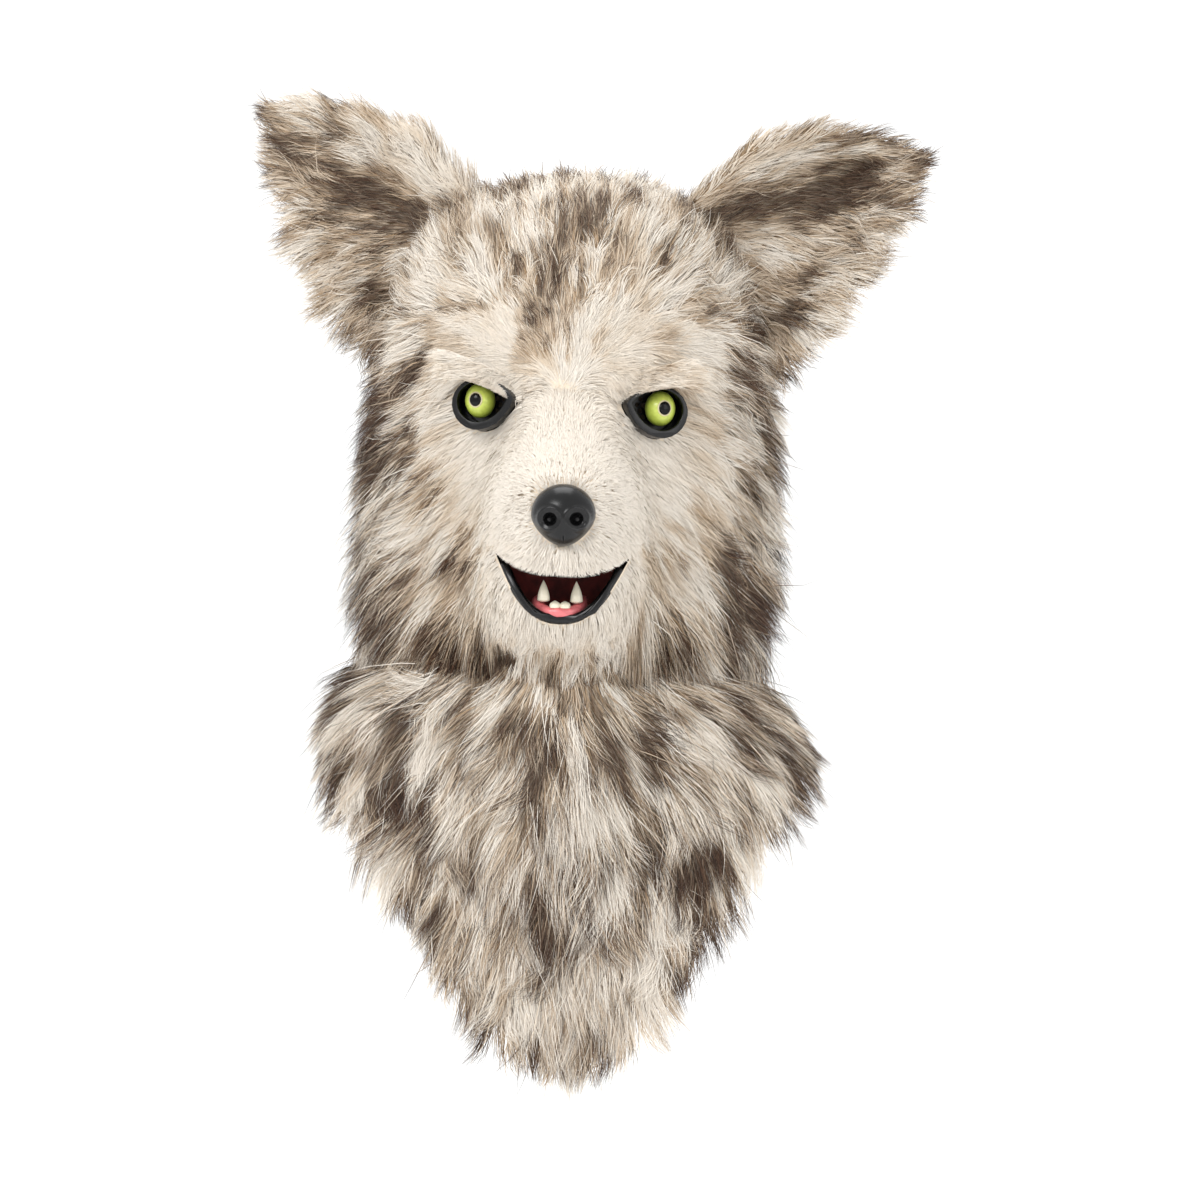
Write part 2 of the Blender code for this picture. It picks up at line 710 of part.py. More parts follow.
def make_eye(side, word, openings):
    """One eye: its rim, net, ball, iris ring and pupil, and the hole for it."""
    frame = eye_frame(side)
    back = RIM_STAND - RIM_DEPTH
    hole = add_object(f"cut_eye_{word}", prism(egg(GAP), back - FRONT_CUT * 0.1, FRONT_CUT), None, "cutters")
    place_mesh(hole, frame)
    for piece in openings:
        cut(piece, hole)

    rim = add_object(f"eye_rim_{word}", prism(egg(0.0), back, RIM_STAND), black_vinyl())
    bore_line = egg(-RIM_WALL, RIM_BORE_RISE)
    bore = add_object(f"cut_rim_{word}", prism(bore_line, back - GAP, RIM_STAND + GAP), None, "cutters")
    place_mesh(rim, frame)
    place_mesh(bore, frame)
    cut(rim, bore)

    net_low = back + NET_THICK
    net_line = egg(-RIM_WALL - SEAT_GAP, RIM_BORE_RISE)
    net = add_object(f"eye_net_{word}", prism(net_line, net_low, net_low + NET_THICK), black_vinyl())
    pierced = egg(-RIM_WALL - NET_EDGE - NET_HOLE, RIM_BORE_RISE)
    holes = bmesh.new()
    rows = int(EYE_BOTTOM * 2.0 / NET_PITCH)
    for row in range(-rows, rows + 1):
        for column in range(-rows, rows + 1):
            x = NET_PITCH * (column + 0.5 * (row % 2))
            y = NET_PITCH * row * math.sqrt(3.0) / 2.0
            if x > NET_HIDDEN_FROM or not inside(x, y, pierced):
                continue
            place = Matrix.Translation((x, y, net_low + NET_THICK / 2.0))
            bmesh.ops.create_cone(holes, cap_ends=True, segments=6, radius1=NET_HOLE,
                                  radius2=NET_HOLE, depth=NET_THICK * 3.0, matrix=place)
    pierce = add_object(f"cut_net_{word}", holes, None, "cutters")
    place_mesh(net, frame)
    place_mesh(pierce, frame)
    cut(net, pierce)

    floor = net_low + NET_THICK + SEAT_GAP
    seat_frame = frame @ Matrix.Translation((BALL_OUTWARD, BALL_RISE, 0.0))
    ball_mesh = bmesh.new()
    bmesh.ops.create_uvsphere(ball_mesh, u_segments=14, v_segments=8, radius=1.0)
    bmesh.ops.scale(ball_mesh, vec=(BALL_HALF_WIDTH, BALL_HALF_HEIGHT, BALL_DEPTH), verts=ball_mesh.verts)
    bmesh.ops.translate(ball_mesh, vec=(0.0, 0.0, floor + BALL_DEPTH), verts=ball_mesh.verts)
    ball = add_object(f"eye_ball_{word}", ball_mesh, finish("eye_green", (0.55, 0.70, 0.08), 0.25))
    place_mesh(ball, seat_frame)

    top = floor + BALL_DEPTH * 2.0
    ring_radius = PUPIL_RADIUS + IRIS_RING_WIDTH
    recess_mesh = bmesh.new()
    bmesh.ops.create_cone(recess_mesh, cap_ends=True, segments=16, radius1=ring_radius + GAP,
                          radius2=ring_radius + GAP, depth=BALL_DEPTH,
                          matrix=Matrix.Translation((0.0, 0.0, top - PUPIL_RECESS + BALL_DEPTH / 2.0)))
    recess = add_object(f"cut_pupil_{word}", recess_mesh, None, "cutters")
    place_mesh(recess, seat_frame)
    cut(ball, recess)

    seat = top - PUPIL_RECESS + SEAT_GAP
    ring_mesh = bmesh.new()
    bmesh.ops.create_cone(ring_mesh, cap_ends=True, segments=16, radius1=ring_radius, radius2=ring_radius,
                          depth=PUPIL_RECESS, matrix=Matrix.Translation((0.0, 0.0, seat + PUPIL_RECESS / 2.0)))
    ring = add_object(f"iris_ring_{word}", ring_mesh, finish("iris_ring", (0.80, 0.85, 0.45), 0.35))
    middle_mesh = bmesh.new()
    bmesh.ops.create_cone(middle_mesh, cap_ends=True, segments=16, radius1=PUPIL_RADIUS + SEAT_GAP / 2.0,
                          radius2=PUPIL_RADIUS + SEAT_GAP / 2.0, depth=PUPIL_RECESS * 4.0,
                          matrix=Matrix.Translation((0.0, 0.0, seat + PUPIL_RECESS / 2.0)))
    middle = add_object(f"cut_ring_{word}", middle_mesh, None, "cutters")
    place_mesh(ring, seat_frame)
    place_mesh(middle, seat_frame)
    cut(ring, middle)

    pupil_mesh = bmesh.new()
    height = PUPIL_RECESS + PUPIL_RISE
    bmesh.ops.create_cone(pupil_mesh, cap_ends=True, segments=16, radius1=PUPIL_RADIUS - SEAT_GAP / 2.0,
                          radius2=PUPIL_RADIUS * 0.6, depth=height,
                          matrix=Matrix.Translation((0.0, 0.0, seat + height / 2.0)))
    pupil = add_object(f"pupil_{word}", pupil_mesh, black_vinyl())
    place_mesh(pupil, seat_frame)


def inside(x, y, outline):
    """Whether a point lies inside an outline."""
    odd = False
    for (ax, ay), (bx, by) in zip(outline, outline[1:] + outline[:1]):
        if (ay > y) != (by > y) and x < ax + (y - ay) / (by - ay) * (bx - ax):
            odd = not odd
    return odd


def nose_mesh(grow, u_segments=14, v_segments=10):
    """The nose's rounded body, narrower below."""
    bm = bmesh.new()
    bmesh.ops.create_uvsphere(bm, u_segments=u_segments, v_segments=v_segments, radius=1.0)
    for vertex in bm.verts:
        x, y, z = vertex.co
        taper = 1.0 - 0.22 * max(0.0, -z)
        vertex.co = Vector((x * (NOSE_HALF_WIDTH + grow) * taper, y * (NOSE_HALF_DEPTH + grow),
                            z * (NOSE_HALF_HEIGHT + grow)))
    tip = skin(0.0, NOSE_DROP / HEAD_DROP).y
    bmesh.ops.translate(bm, vec=(0.0, tip, -NOSE_DROP), verts=bm.verts)
    return bm, tip


def make_nose(openings):
    """The nose, with two nostrils and a cleft, in its hole in the muzzle."""
    body, tip = nose_mesh(0.0)
    nose = add_object("nose", body, black_vinyl())
    roll_mesh(nose)
    seat = add_object("cut_nose", nose_mesh(GAP)[0], None, "cutters")
    roll_mesh(seat)
    for piece in openings:
        cut(piece, seat)
    holes = bmesh.new()
    front = tip - NOSE_HALF_DEPTH * 0.86
    for side in (-1.0, 1.0):
        place = Matrix.LocRotScale(
            Vector((side * NOSTRIL_SPREAD, front, -NOSE_DROP - NOSE_HALF_HEIGHT * 0.10)),
            Matrix.Rotation(side * math.radians(24.0), 3, "Y"),
            Vector((NOSTRIL_HALF_WIDTH, NOSTRIL_DEPTH, NOSTRIL_HALF_HEIGHT)))
        bmesh.ops.create_uvsphere(holes, u_segments=10, v_segments=6, radius=1.0, matrix=place)
    nostrils = add_object("cut_nostrils", holes, None, "cutters")
    roll_mesh(nostrils)
    cut(nose, nostrils)
    wedge = bmesh.new()
    place = Matrix.LocRotScale(
        Vector((0.0, tip - NOSE_HALF_DEPTH * 0.75, -NOSE_DROP - NOSE_HALF_HEIGHT * 0.75)), None,
        Vector((NOSE_CLEFT, NOSE_HALF_DEPTH * 0.9, NOSE_HALF_HEIGHT)))
    bmesh.ops.create_cube(wedge, size=1.0, matrix=place)
    cleft = add_object("cut_cleft", wedge, None, "cutters")
    roll_mesh(cleft)
    cut(nose, cleft)


def lower_lip(shrink, count=24):
    """The lower lip's line, corner to corner, as x and z."""
    points = []
    for step in range(count + 1):
        side = -math.cos(math.pi * step / count)
        fall = (1.0 - abs(side) ** LIP_ROUNDNESS) ** LIP_SLOPE
        points.append((side * (MOUTH_HALF_WIDTH - shrink),
                       -MOUTH_CORNER_DROP - fall * (MOUTH_DROP - shrink)))
    return points


def upper_lip(shrink, count=8):
    """The upper lip's line, right corner to left, between the corners."""
    points = []
    for step in range(1, count):
        x = 1.0 - 2.0 * step / count
        points.append((x * (MOUTH_HALF_WIDTH - shrink),
                       -MOUTH_CORNER_DROP - UPPER_LIP_SAG * (1.0 - abs(x) ** 3.0) - shrink * 0.5))
    return points


def station_at(z):
    return min(1.0, (crown_height() - z) / HEAD_DROP)


def make_channel(name, outline, front, back, material):
    """A solid that runs back from the face: its front end follows the skin."""
    bm = bmesh.new()
    ahead = [bm.verts.new((x, front(x, z), z)) for x, z in outline]
    behind = [bm.verts.new((x, back, z)) for x, z in outline]
    count = len(outline)
    for index in range(count):
        after = (index + 1) % count
        bm.faces.new((ahead[index], ahead[after], behind[after], behind[index]))
    bmesh.ops.triangle_fill(bm, use_beauty=True, edges=[bm.edges.get((ahead[i], ahead[(i + 1) % count]))
                                                        for i in range(count)])
    bmesh.ops.triangle_fill(bm, use_beauty=True, edges=[bm.edges.get((behind[i], behind[(i + 1) % count]))
                                                        for i in range(count)])
    bmesh.ops.recalc_face_normals(bm, faces=bm.faces)
    item = add_object(name, bm, material, "wolf_mask" if material else "cutters")
    roll_mesh(item)
    return item


def make_mouth(openings):
    """The mouth's hole, its dark liner and the black lower jaw with its lip."""
    hole_line = lower_lip(-GAP) + upper_lip(-GAP)
    hole = make_channel("cut_mouth", hole_line, lambda x, z: -FACE_DEPTH - MUZZLE_REACH - FRONT_CUT,
                        -FACE_DEPTH * 0.9, None)
    for piece in openings:
        cut(piece, hole)

    outer_line = lower_lip(0.0)[LIP_END_STEPS:-LIP_END_STEPS]
    inner_line = [(x, max(z, jaw_floor_height())) for x, z in lower_lip(LIP_WALL)]
    inner_line = inner_line[LIP_END_STEPS:-LIP_END_STEPS]
    bm = bmesh.new()
    rings = []
    for (ax, az), (bx, bz) in zip(outer_line, inner_line):
        ahead = skin_depth(ax, station_at(az)) - LIP_STAND
        rings.append([bm.verts.new(place) for place in (
            (ax, ahead, az), (bx, ahead, bz), (bx, -MOUTH_DEPTH_END, bz), (ax, -MOUTH_DEPTH_END, az))])
    for ring, after in zip(rings, rings[1:]):
        for corner in range(4):
            following = (corner + 1) % 4
            bm.faces.new((ring[corner], ring[following], after[following], after[corner]))
    bm.faces.new(rings[0])
    bm.faces.new(rings[-1])
    bmesh.ops.recalc_face_normals(bm, faces=bm.faces)
    jaw = add_object("jaw", bm, black_vinyl())
    roll_mesh(jaw)

    plate_back = -MOUTH_DEPTH_END + SEAT_GAP
    line = lower_lip(SEAT_GAP) + upper_lip(SEAT_GAP)
    bm = bmesh.new()
    ring = [bm.verts.new((x, plate_back, z)) for x, z in line]
    face = bm.faces.new(ring)
    raised = bmesh.ops.extrude_face_region(bm, geom=[face])
    bmesh.ops.translate(bm, vec=(0.0, LINER_WALL, 0.0),
                        verts=[item for item in raised["geom"] if isinstance(item, bmesh.types.BMVert)])
    bmesh.ops.recalc_face_normals(bm, faces=bm.faces)
    plate = add_object("mouth_back", bm, finish("mouth_dark", (0.05, 0.008, 0.008), 0.5))
    roll_mesh(plate)


def jaw_floor_height():
    return -MOUTH_CORNER_DROP - MOUTH_DROP + JAW_FLOOR


def gum_line(shrink, count=12):
    """The gum's outline in plan, open at the back."""
    front = skin_depth(0.0, station_at(jaw_floor_height())) + GUM_REACH
    points = []
    for step in range(count + 1):
        turn = math.pi * step / count
        points.append((-math.cos(turn) * (GUM_HALF_WIDTH - shrink),
                       front + shrink + (1.0 - math.sin(turn) ** 0.8) * (GUM_LENGTH - shrink)))
    return points


def make_gum_and_teeth():
    """The gum on the jaw's floor and the six teeth on it."""
    low = jaw_floor_height() + SEAT_GAP
    outline = gum_line(0.0) + gum_line(GUM_WIDTH)[::-1]
    bm = prism(outline, low, low + GUM_HEIGHT)
    gum = add_object("gum", bm, finish("gum_pink", (0.62, 0.13, 0.12), 0.30))
    roll_mesh(gum)
    front = skin_depth(0.0, station_at(jaw_floor_height())) + GUM_REACH
    base = low + GUM_HEIGHT + SEAT_GAP
    for tooth in TEETH:
        bm = bmesh.new()
        bmesh.ops.create_cone(bm, cap_ends=True, segments=10, radius1=1.0, radius2=0.12, depth=1.0)
        bmesh.ops.bisect_plane(bm, geom=bm.verts[:] + bm.edges[:] + bm.faces[:],
                               plane_co=(0.0, 0.0, 0.0), plane_no=(0.0, 0.0, 1.0))
        for vertex in bm.verts:
            share = vertex.co.z + 0.5
            belly = 1.22 if 0.4 < share < 0.6 else 1.0
            vertex.co = Vector((tooth.side * GUM_HALF_WIDTH + vertex.co.x * tooth.radius * belly,
                                front + tooth.along + vertex.co.y * tooth.radius * belly,
                                base + share * tooth.height))
        item = add_object(tooth.name, bm, finish("tooth_ivory", (0.86, 0.84, 0.74), 0.25))
        roll_mesh(item)


def main():
    tidy_scene()
    hood = make_hood()
    fur = make_head_fur()
    face = make_face_fur()
    make_bib_fur()
    seat = make_ear_seat()
    for ear in EARS:
        make_ear(ear, fur, seat)
    for side, word in ((-1, "left"), (1, "right")):
        make_eye(side, word, (hood, face))
    make_nose((hood, face))
    make_mouth((hood, face))
    make_gum_and_teeth()


if __name__ == "__main__":
    main()
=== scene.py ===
"""The looks of the wolf mask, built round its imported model.

Metres, +Z up. The mask faces -Y, and +X is at the viewer's right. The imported
solids give every place: the fur grows on the hood's and the ears' own skins, and
the eyes, the nose and the mouth's pieces sit where their solids are.
"""

import json
import logging
import math
from dataclasses import dataclass, field
from enum import Enum
from typing import Callable, Sequence

import bmesh
import bpy
import numpy as np
from mathutils import Matrix, Vector, noise
from mathutils.bvhtree import BVHTree
from mathutils.kdtree import KDTree

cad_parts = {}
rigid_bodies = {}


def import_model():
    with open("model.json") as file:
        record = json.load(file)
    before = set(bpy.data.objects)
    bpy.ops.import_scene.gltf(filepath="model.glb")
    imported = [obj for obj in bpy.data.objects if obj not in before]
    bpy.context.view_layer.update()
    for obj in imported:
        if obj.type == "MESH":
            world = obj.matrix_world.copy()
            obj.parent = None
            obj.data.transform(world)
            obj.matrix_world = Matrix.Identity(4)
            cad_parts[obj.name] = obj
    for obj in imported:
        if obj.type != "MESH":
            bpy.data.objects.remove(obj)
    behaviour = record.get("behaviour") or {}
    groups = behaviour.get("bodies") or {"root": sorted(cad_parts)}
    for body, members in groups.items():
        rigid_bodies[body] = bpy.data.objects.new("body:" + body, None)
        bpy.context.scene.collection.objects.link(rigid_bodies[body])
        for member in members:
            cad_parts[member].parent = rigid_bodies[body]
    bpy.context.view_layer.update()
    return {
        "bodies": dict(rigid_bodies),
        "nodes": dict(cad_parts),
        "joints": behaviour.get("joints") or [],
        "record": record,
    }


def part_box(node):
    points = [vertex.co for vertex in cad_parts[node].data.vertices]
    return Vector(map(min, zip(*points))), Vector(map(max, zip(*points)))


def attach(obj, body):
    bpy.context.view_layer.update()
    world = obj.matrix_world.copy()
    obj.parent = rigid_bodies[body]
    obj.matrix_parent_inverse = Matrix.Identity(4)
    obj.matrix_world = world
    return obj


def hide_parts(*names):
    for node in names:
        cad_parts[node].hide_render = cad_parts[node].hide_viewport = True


LOG = logging.getLogger("wolf_mask")
Array = np.ndarray
MM = 0.001
BODY = "root"
TONE = "fur_tone"
BAKE_MAP = "OFBake"
# How far strands may reach to the left and to the right, in metres
SIDE_LIMITS = (-0.2045, 0.2435)


def linear(code: str) -> tuple[float, float, float]:
    """Turn a colour's hexadecimal code into the linear values that shaders take.

    Args:
        code: Six hexadecimal digits, red first.

    Returns:
        Red, green and blue, from 0 to 1.
    """
    shares = [int(code[at:at + 2], 16) / 255.0 for at in (0, 2, 4)]
    return tuple(share / 12.92 if share <= 0.04045 else ((share + 0.055) / 1.055) ** 2.4
                 for share in shares)


class Hue(Enum):
    """The colours of the mask's fur."""

    IVORY = linear("f5ede1")
    CREAM = linear("eedfca")
    TAN = linear("ad8c66")
    UMBER = linear("5f4433")
    DARK = linear("1f1613")


class Shape(Enum):
    """How many points a strand has, and where they lie along it."""

    SHORT = (0.0, 0.55, 1.0)
    LONG = (0.0, 0.36, 0.70, 1.0)


# Materials


def new_group(
        name: str, inputs: Sequence[tuple[str, str, float]],
        outputs: Sequence[tuple[str, str]]) -> tuple[bpy.types.NodeTree, bpy.types.Node, bpy.types.Node]:
    """Start a shader node group.

    Args:
        name: The group's name.
        inputs: Name, socket type and value of each input.
        outputs: Name and socket type of each output.

    Returns:
        The group, its input node and its output node.
    """
    tree = bpy.data.node_groups.new(name, "ShaderNodeTree")
    for label, kind, value in inputs:
        socket = tree.interface.new_socket(name=label, in_out="INPUT", socket_type=kind)
        if kind == "NodeSocketFloat":
            socket.default_value = value
    for label, kind in outputs:
        tree.interface.new_socket(name=label, in_out="OUTPUT", socket_type=kind)
    return tree, tree.nodes.new("NodeGroupInput"), tree.nodes.new("NodeGroupOutput")


def make_mottle() -> bpy.types.NodeTree:
    """Build the group that varies a colour and gives a fine height, in Object coordinates.

    Returns:
        The group, with outputs Color and Height.
    """
    tree, given, made = new_group(
        "mottle", (("Color", "NodeSocketColor", 0.0), ("Scale", "NodeSocketFloat", 200.0),
                   ("Strength", "NodeSocketFloat", 0.2)),
        (("Color", "NodeSocketColor"), ("Height", "NodeSocketFloat")))
    nodes, links = tree.nodes, tree.links
    place = nodes.new("ShaderNodeTexCoord")
    clouds = nodes.new("ShaderNodeTexNoise")
    clouds.inputs["Detail"].default_value = 6.0
    links.new(place.outputs["Object"], clouds.inputs["Vector"])
    links.new(given.outputs["Scale"], clouds.inputs["Scale"])
    low = nodes.new("ShaderNodeMath")
    low.operation = "SUBTRACT"
    low.inputs[0].default_value = 1.0
    links.new(given.outputs["Strength"], low.inputs[1])
    high = nodes.new("ShaderNodeMath")
    high.operation = "ADD"
    high.inputs[0].default_value = 1.0
    links.new(given.outputs["Strength"], high.inputs[1])
    gain = nodes.new("ShaderNodeMapRange")
    gain.inputs["From Min"].default_value = 0.3
    gain.inputs["From Max"].default_value = 0.7
    links.new(clouds.outputs["Fac"], gain.inputs["Value"])
    links.new(low.outputs[0], gain.inputs["To Min"])
    links.new(high.outputs[0], gain.inputs["To Max"])
    grow = nodes.new("ShaderNodeVectorMath")
    grow.operation = "SCALE"
    links.new(given.outputs["Color"], grow.inputs[0])
    links.new(gain.outputs["Result"], grow.inputs["Scale"])
    links.new(grow.outputs["Vector"], made.inputs["Color"])
    links.new(clouds.outputs["Fac"], made.inputs["Height"])
    return tree


@dataclass(frozen=True)
class Finish:
    """A finish of one colour with mottling, fine relief and its own gloss."""

    name: str
    colour: tuple[float, float, float]
    roughness: float = 0.5
    specular: float = 0.5
    coat: float = 0.0
    coat_roughness: float = 0.1
    sheen: float = 0.0
    scale: float = 300.0
    strength: float = 0.15
    relief: float = 0.1
    relief_depth: float = 0.0002
    attribute: str = ""

    def build(self, mottle: bpy.types.NodeTree) -> bpy.types.Material:
        """Make the material.

        Args:
            mottle: The shared group for mottling and relief.

        Returns:
            The material, with one Principled shader.
        """
        material = bpy.data.materials.new(self.name)
        material.use_nodes = True
        nodes, links = material.node_tree.nodes, material.node_tree.links
        shader = nodes["Principled BSDF"]
        shader.inputs["Roughness"].default_value = self.roughness
        shader.inputs["Specular IOR Level"].default_value = self.specular
        shader.inputs["Coat Weight"].default_value = self.coat
        shader.inputs["Coat Roughness"].default_value = self.coat_roughness
        shader.inputs["Sheen Weight"].default_value = self.sheen
        group = nodes.new("ShaderNodeGroup")
        group.node_tree = mottle
        group.inputs["Color"].default_value = (*self.colour, 1.0)
        group.inputs["Scale"].default_value = self.scale
        group.inputs["Strength"].default_value = self.strength
        if self.attribute:
            tone = nodes.new("ShaderNodeAttribute")
            tone.attribute_name = self.attribute
            links.new(tone.outputs["Color"], group.inputs["Color"])
        links.new(group.outputs["Color"], shader.inputs["Base Color"])
        if self.relief > 0.0:
            bump = nodes.new("ShaderNodeBump")
            bump.inputs["Strength"].default_value = self.relief
            bump.inputs["Distance"].default_value = self.relief_depth
            links.new(group.outputs["Height"], bump.inputs["Height"])
            links.new(bump.outputs["Normal"], shader.inputs["Normal"])
        return material


FINISHES = (
    Finish("soft_plush", Hue.IVORY.value, 0.8, 0.15, scale=900.0, strength=0.05, relief=0.0, attribute=TONE),
    Finish("grizzled_fur", Hue.CREAM.value, 0.65, 0.25, scale=700.0, strength=0.08, relief=0.0,
           attribute=TONE),
    Finish("knit_backing", linear("cdbda3"), 0.95, 0.1, scale=900.0, strength=0.12, relief=0.4,
           relief_depth=0.0006, attribute=TONE),
    Finish("ear_backing", linear("a08a70"), 0.95, 0.1, scale=260.0, strength=0.25, relief=0.5,
           relief_depth=0.0008),
    Finish("black_vinyl", linear("0a0a0b"), 0.25, 0.42, scale=420.0, strength=0.25, relief=0.2),
    Finish("black_net", linear("0c0c0d"), 0.35, 0.5, scale=900.0, strength=0.2, relief=0.2),
    Finish("eye_paint", linear("b4c94a"), 0.30, 0.4, coat=0.35, coat_roughness=0.1, scale=500.0,
           strength=0.10, relief=0.05, attribute=TONE),
    Finish("iris_paint", linear("ddd3ab"), 0.4, 0.4, scale=600.0, strength=0.08, relief=0.05),
    Finish("pupil_gloss", linear("040405"), 0.16, 0.25, scale=600.0, strength=0.1, relief=0.0),
    Finish("mouth_maroon", linear("8a2c26"), 0.55, 0.35, scale=120.0, strength=0.45, relief=0.3),
    Finish("gum_pink", linear("e07477"), 0.34, 0.5, coat=0.3, coat_roughness=0.15, scale=260.0,
           strength=0.22, relief=0.25),
    Finish("tooth_ivory", linear("ece3cd"), 0.32, 0.45, coat=0.25, coat_roughness=0.12, scale=240.0,
           strength=0.08, relief=0.08),
)


# Meshes


def settle(name: str, bm: bmesh.types.BMesh, material: bpy.types.Material,
           smooth: float = 60.0) -> bpy.types.Object:
    """Turn a bmesh into a finished piece that rides on the mask.

    Args:
        name: The piece's name.
        bm: Its mesh, in the mask's frame; it is freed.
        material: Its material.
        smooth: The angle, in degrees, above which an edge stays sharp.

    Returns:
        The piece.
    """
    mesh = bpy.data.meshes.new(name)
    bm.to_mesh(mesh)
    bm.free()
    mesh.materials.append(material)
    mesh.shade_smooth()
    mesh.set_sharp_from_angle(angle=math.radians(smooth))
    piece = bpy.data.objects.new(name, mesh)
    bpy.context.scene.collection.objects.link(piece)
    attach(piece, BODY)
    return piece


def merged(node: bpy.types.Object) -> bmesh.types.BMesh:
    """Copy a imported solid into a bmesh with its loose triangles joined.

    Args:
        node: The solid's object.

    Returns:
        The joined copy.
    """
    bm = bmesh.new()
    bm.from_mesh(node.data)
    bmesh.ops.remove_doubles(bm, verts=bm.verts, dist=1e-6)
    return bm


def refined(node: bpy.types.Object, width: float, segments: int = 3) -> bmesh.types.BMesh:
    """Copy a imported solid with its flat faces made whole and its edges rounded.

    Args:
        node: The solid's object.
        width: The rounding's width.
        segments: The rounding's faces across.

    Returns:
        The rounded copy.
    """
    bm = merged(node)
    bmesh.ops.dissolve_limit(bm, angle_limit=math.radians(2.0), verts=bm.verts, edges=bm.edges)
    edges = [edge for edge in bm.edges if len(edge.link_faces) == 2
             and edge.calc_face_angle(0.0) > math.radians(35.0)]
    bmesh.ops.bevel(bm, geom=edges, offset=width, offset_type="OFFSET", segments=segments, profile=0.5,
                    affect="EDGES", clamp_overlap=True, material=-1)
    return bm


def tube(places: Sequence[tuple[float, float, float]], radii: Sequence[float]) -> bmesh.types.BMesh:
    """Sweep a round cord along some places.

    Args:
        places: The places, in order.
        radii: The cord's radius at each.

    Returns:
        The cord, closed at its ends.
    """
    route = bpy.data.curves.new("route", "CURVE")
    route.dimensions = "3D"
    route.bevel_depth = 1.0
    route.bevel_resolution = 4
    route.use_fill_caps = True
    spline = route.splines.new("POLY")
    spline.points.add(len(places) - 1)
    for point, place, radius in zip(spline.points, places, radii):
        point.co = (*place, 1.0)
        point.radius = radius
    holder = bpy.data.objects.new("route", route)
    bpy.context.scene.collection.objects.link(holder)
    mesh = bpy.data.meshes.new_from_object(holder.evaluated_get(bpy.context.evaluated_depsgraph_get()))
    bm = bmesh.new()
    bm.from_mesh(mesh)
    bmesh.ops.remove_doubles(bm, verts=bm.verts, dist=1e-6)
    bmesh.ops.recalc_face_normals(bm, faces=bm.faces)
    bpy.data.objects.remove(holder)
    bpy.data.curves.remove(route)
    bpy.data.meshes.remove(mesh)
    return bm


def unit(vectors: Array) -> Array:
    """Scale vectors to a length of one."""
    return vectors / np.maximum(np.linalg.norm(vectors, axis=-1, keepdims=True), 1e-12)


def ease(values: Array, low: float, high: float) -> Array:
    """Rise from 0 to 1 with level ends, between low and high."""
    share = np.clip((values - low) / (high - low), 0.0, 1.0)
    return share * share * (3.0 - 2.0 * share)


# Grooming


@dataclass(frozen=True)
class Comb:
    """How the fur lies at one place of the +X side; the other side mirrors it.

    The place is in millimetres, and the flow is out from the middle, back and up.
    Lift is in degrees from the skin, length in millimetres, and dark from 0 to 1.
    """

    x: float
    y: float
    z: float
    out: float
    back: float
    up: float
    lift: float
    length: float
    dark: float


